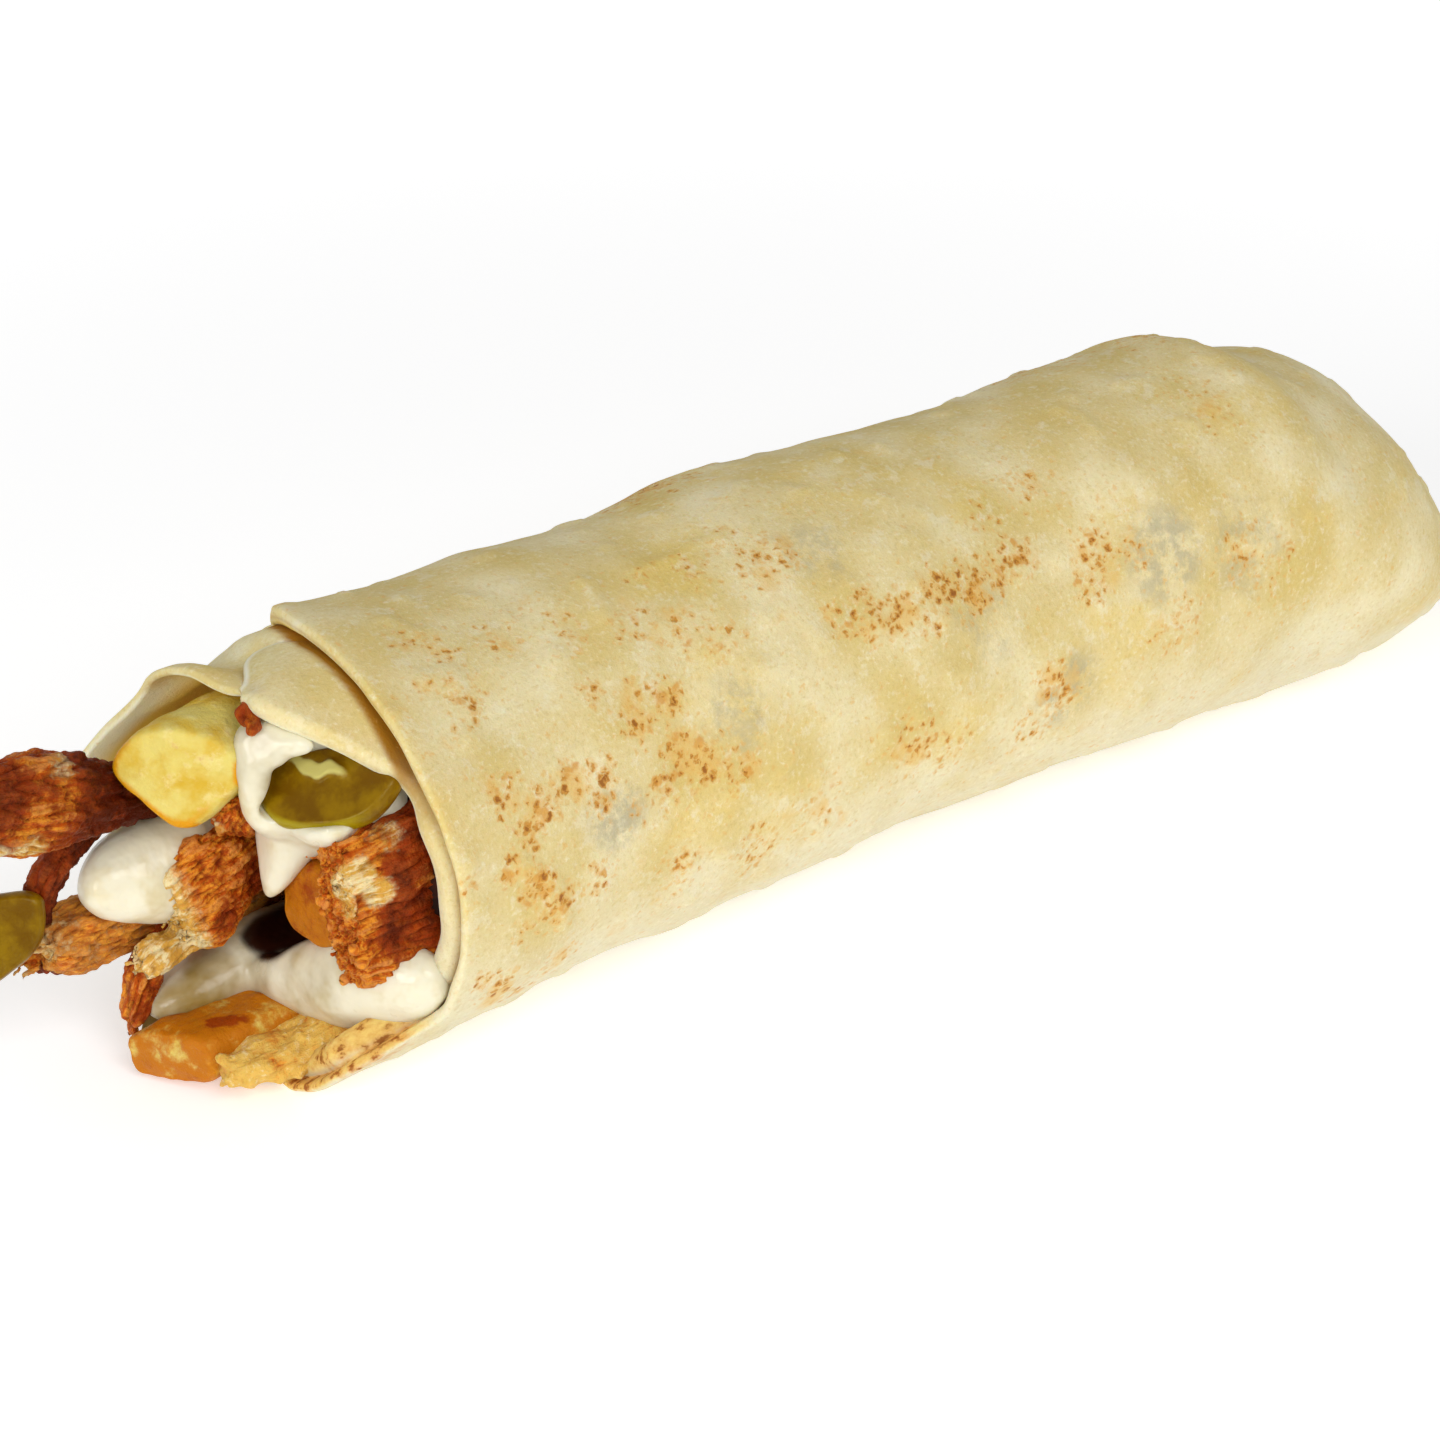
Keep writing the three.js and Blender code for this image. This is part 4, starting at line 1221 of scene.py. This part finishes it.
def garlic_sauce():
    lobes = [lobe(*each) for each in LOBES]
    shells = [(under_pickle(points), faces) for points, faces in lobes] + [lobe(*each) for each in CLINGING]
    piece = fused("garlic_sauce_poured", shells, SAUCE_GRAIN)
    combine(piece, new_piece("hollow", [lobe(*HOLLOW)]), "DIFFERENCE")
    modify(piece, "REMESH", mode="VOXEL", voxel_size=SAUCE_GRAIN)
    place_points(piece, smoothed(piece, 10))
    points = points_of(piece)
    emboss(piece, 0.3 * cloud(points, 6, 5) + 0.12 * cloud(points, 2.5, 6))
    mark(piece, stain=patched(points, STAINED), shade=in_hollow(points))
    set_out(piece, sauce_finish(), "sauce", "garlic_sauce")


def filling_inside():
    """The core of the filling, from the mouth to the end of the hollow, finished dark as painted shade."""
    deep_end = FILLING_END - 15
    ends = [(x, 0, CORE_MIDDLE) for x in (deep_end, 1)]
    rows = [(x, 0) for x in (deep_end, 140, 105, 70, 38, 15)] + [(8, 0.8), (4, 1.5), (1.5, 5)]
    angle = np.linspace(0, 360, 64, endpoint=False)
    rings = np.array([roll_skin(x + 0 * angle, angle, WALL + 0.6 + more, 0.0) for x, more in rows])
    piece = new_piece("filling_core", [shell_from_rings(rings, *ends)])
    set_out(piece, filling_finish(), "chicken", "garlic_sauce")


def scrap(material):
    """The shred of chicken stuck on the sauce under the folded bread."""
    piece = fused("scrap_on_sauce", [lobe(*SCRAP)], SCRAP_GRAIN)
    points = points_of(piece)
    emboss(piece, 1.1 * cloud(points, 2.2, 3) + 0.5 * cloud(points, 1.0, 3))
    none = np.zeros(len(points))
    mark(piece, run=points, pale=none, char=none + 0.5, groove=0.35 - 0.8 * cloud(points, 1.4, 3))
    set_out(piece, material, "chicken", "garlic_sauce")


# Pickles


def pickle_slice(middle, facing, spin, long, short, thick, cup):
    """The sizes of a slice. Its face points to facing, spin turns it in its own plane in degrees, and its
    rim stands up by cup. turn holds its own axes, with the third out of its face."""
    turn = Vector((0, 0, 1)).rotation_difference(Vector(facing)).to_matrix()
    turn = np.array(turn @ Matrix.Rotation(math.radians(spin), 3, "Z"))
    return SimpleNamespace(middle=middle, turn=turn, long=long, short=short, thick=thick, cup=cup)


PICKLES = {
    "pickle_top": pickle_slice((-5.1, -10.8, 38.6), (-0.638, -0.288, 0.716), -50.6, 17.8, 9.9, 3, 0.2),
    "pickle_left": pickle_slice((-40, 9.6, 22.6), (-0.45, -0.8, 0.35), 0, 17, 9.6, 3.2, 0.4),
    "pickle_tip": pickle_slice((-16, 8.4, 5), (-0.5, 0.1, 0.85), 0, 11, 7, 2.4, 0.3),
}


def on_slice(sizes, points):
    """Where points lie along a slice's own axes, and the share out from its middle."""
    local = (points - sizes.middle) @ sizes.turn
    return local, np.hypot(local[:, 0] / (sizes.long / 2), local[:, 1] / (sizes.short / 2))


def slice_shell(sizes):
    """An oval slice with a softened edge, hardly cupped."""
    edge = np.linspace(-1.45, 1.45, 13)
    across = np.linspace(0.02, 0.86, 30)
    shares = np.concatenate([across, 0.86 + 0.14 * np.cos(edge), across[::-1]])
    heights = np.concatenate([np.full(30, -1), np.sin(edge), np.full(30, 1)])
    angle = circle(128)
    share = shares[:, None] * (1 + 0.03 * np.sin(angle * 5))
    x = np.cos(angle) * sizes.long / 2 * share
    y = np.sin(angle) * np.abs(np.sin(angle)) ** 0.15 * sizes.short / 2 * share
    z = heights[:, None] * sizes.thick / 2 + sizes.cup * shares[:, None] ** 2 + 0 * angle
    return shell_from_rings(np.stack([x, y, z], -1) @ sizes.turn.T + sizes.middle)


def pickle(name, material):
    sizes = PICKLES[name]
    is_top = name == "pickle_top"
    piece = new_piece(f"{name}_sliced", [slice_shell(sizes)])
    points = points_of(piece)
    local, out = on_slice(sizes, points)
    raised = skinned_patch(*local.T) * is_top
    # where painted light goes: the lower rim of the top slice
    rim = ramp(0.84, 0.96, out) * ramp(0.5, -1.5, local[:, 1]) * ramp(7, 2, local[:, 0]) * is_top
    emboss(piece, 0.5 * raised + 0.15 * cloud(points, 3, 1))
    mark(piece, rim=rim, skinned=raised)
    set_out(piece, material, "pickle", name)


def skinned_patch(x, y, z):
    """The pale wavy ridge of flesh on the top slice, at places along the slice's own axes."""
    along = (x + 1.2) / 4.8
    wave = 0.45 * np.sin(x * 1.1) + 0.15 * np.sin(x * 2.7)
    across = (y - 2.4 + 0.25 * (x + 1.2) - wave) / 1.3
    return ramp(1.1, 0.5, np.hypot(along, across)) * (z > 0)


# Table, light and camera

TABLE_HALF = 1.5  # metres
CAMERA_PLACE = Vector((-182.2175, -290.5035, 211.9281))  # in the drawing
CAMERA_YAW = math.radians(40.1)
CAMERA_PITCH = math.radians(26.6)
LENS = 81.2


def table():
    """A white table that glows a little, and more away from the wrap, so that it shows as pure white."""
    corners = [(x * TABLE_HALF, y * TABLE_HALF, 0) for x, y in ((-1, -1), (1, -1), (1, 1), (-1, 1))]
    mesh = bpy.data.meshes.new("table")
    mesh.from_pydata(corners, [], [(0, 1, 2, 3)])
    piece = put_in("table", mesh)
    white = (0.93, 0.93, 0.93, 1)
    finish = Finish("white_table", {"Base Color": white, "Roughness": 0.9, "Emission Strength": 1.0})
    away = finish.node("ShaderNodeVectorMath", {"operation": "LENGTH"}, {0: finish.place()}, "Value")
    glow = finish.mix((0.37, 0.37, 0.37, 1), (0.62, 0.62, 0.62, 1), finish.step(away, 0.12, 0.6))
    mesh.materials.append(finish.paint({"Emission Color": glow}))


def soft_light(name, place, size, power):
    """A square softbox aimed at the middle of the wrap."""
    lamp = bpy.data.lights.new(name, "AREA")
    lamp.size = size
    lamp.energy = power
    light = put_in(name, lamp)
    light.location = place
    light.rotation_euler = (Vector((0, 0, 0.02)) - Vector(place)).to_track_quat("-Z", "Y").to_euler()


def daylight(strength):
    """Even white light from all round."""
    world = bpy.data.worlds.new("studio")
    bpy.context.scene.world = world
    world.use_nodes = True
    background = world.node_tree.nodes["Background"]
    background.inputs["Color"].default_value = (1, 1, 1, 1)
    background.inputs["Strength"].default_value = strength


def camera():
    """The camera where the photograph was taken from."""
    lens = bpy.data.cameras.new("camera")
    lens.lens = LENS
    lens.sensor_width = 36
    lens.sensor_fit = "HORIZONTAL"
    lens.clip_start = 0.01
    seen_from = put_in("camera", lens)
    seen_from.location = (CAMERA_PLACE + DRAWING_TO_FRAME) * MM
    seen_from.rotation_euler = (math.pi / 2 - CAMERA_PITCH, 0, -CAMERA_YAW)
    bpy.context.scene.camera = seen_from


camera()
table()
daylight(0.42)
soft_light("key", (-0.2, -0.85, 0.7), 0.5, 4.0)
soft_light("side", (-0.9, -0.35, 0.4), 0.4, 3.4)

flatbread()
roasted = meat_finish()
for node in CHICKEN:
    chicken(node, roasted)
scrap(roasted)
fried = fry_finish()
for node in FRIES:
    fry(node, fried)
pickled = pickle_finish()
for node in PICKLES:
    pickle(node, pickled)
garlic_sauce()
filling_inside()

view_settings = bpy.context.scene.view_settings
view_settings.view_transform = "Standard"
view_settings.look = "None"
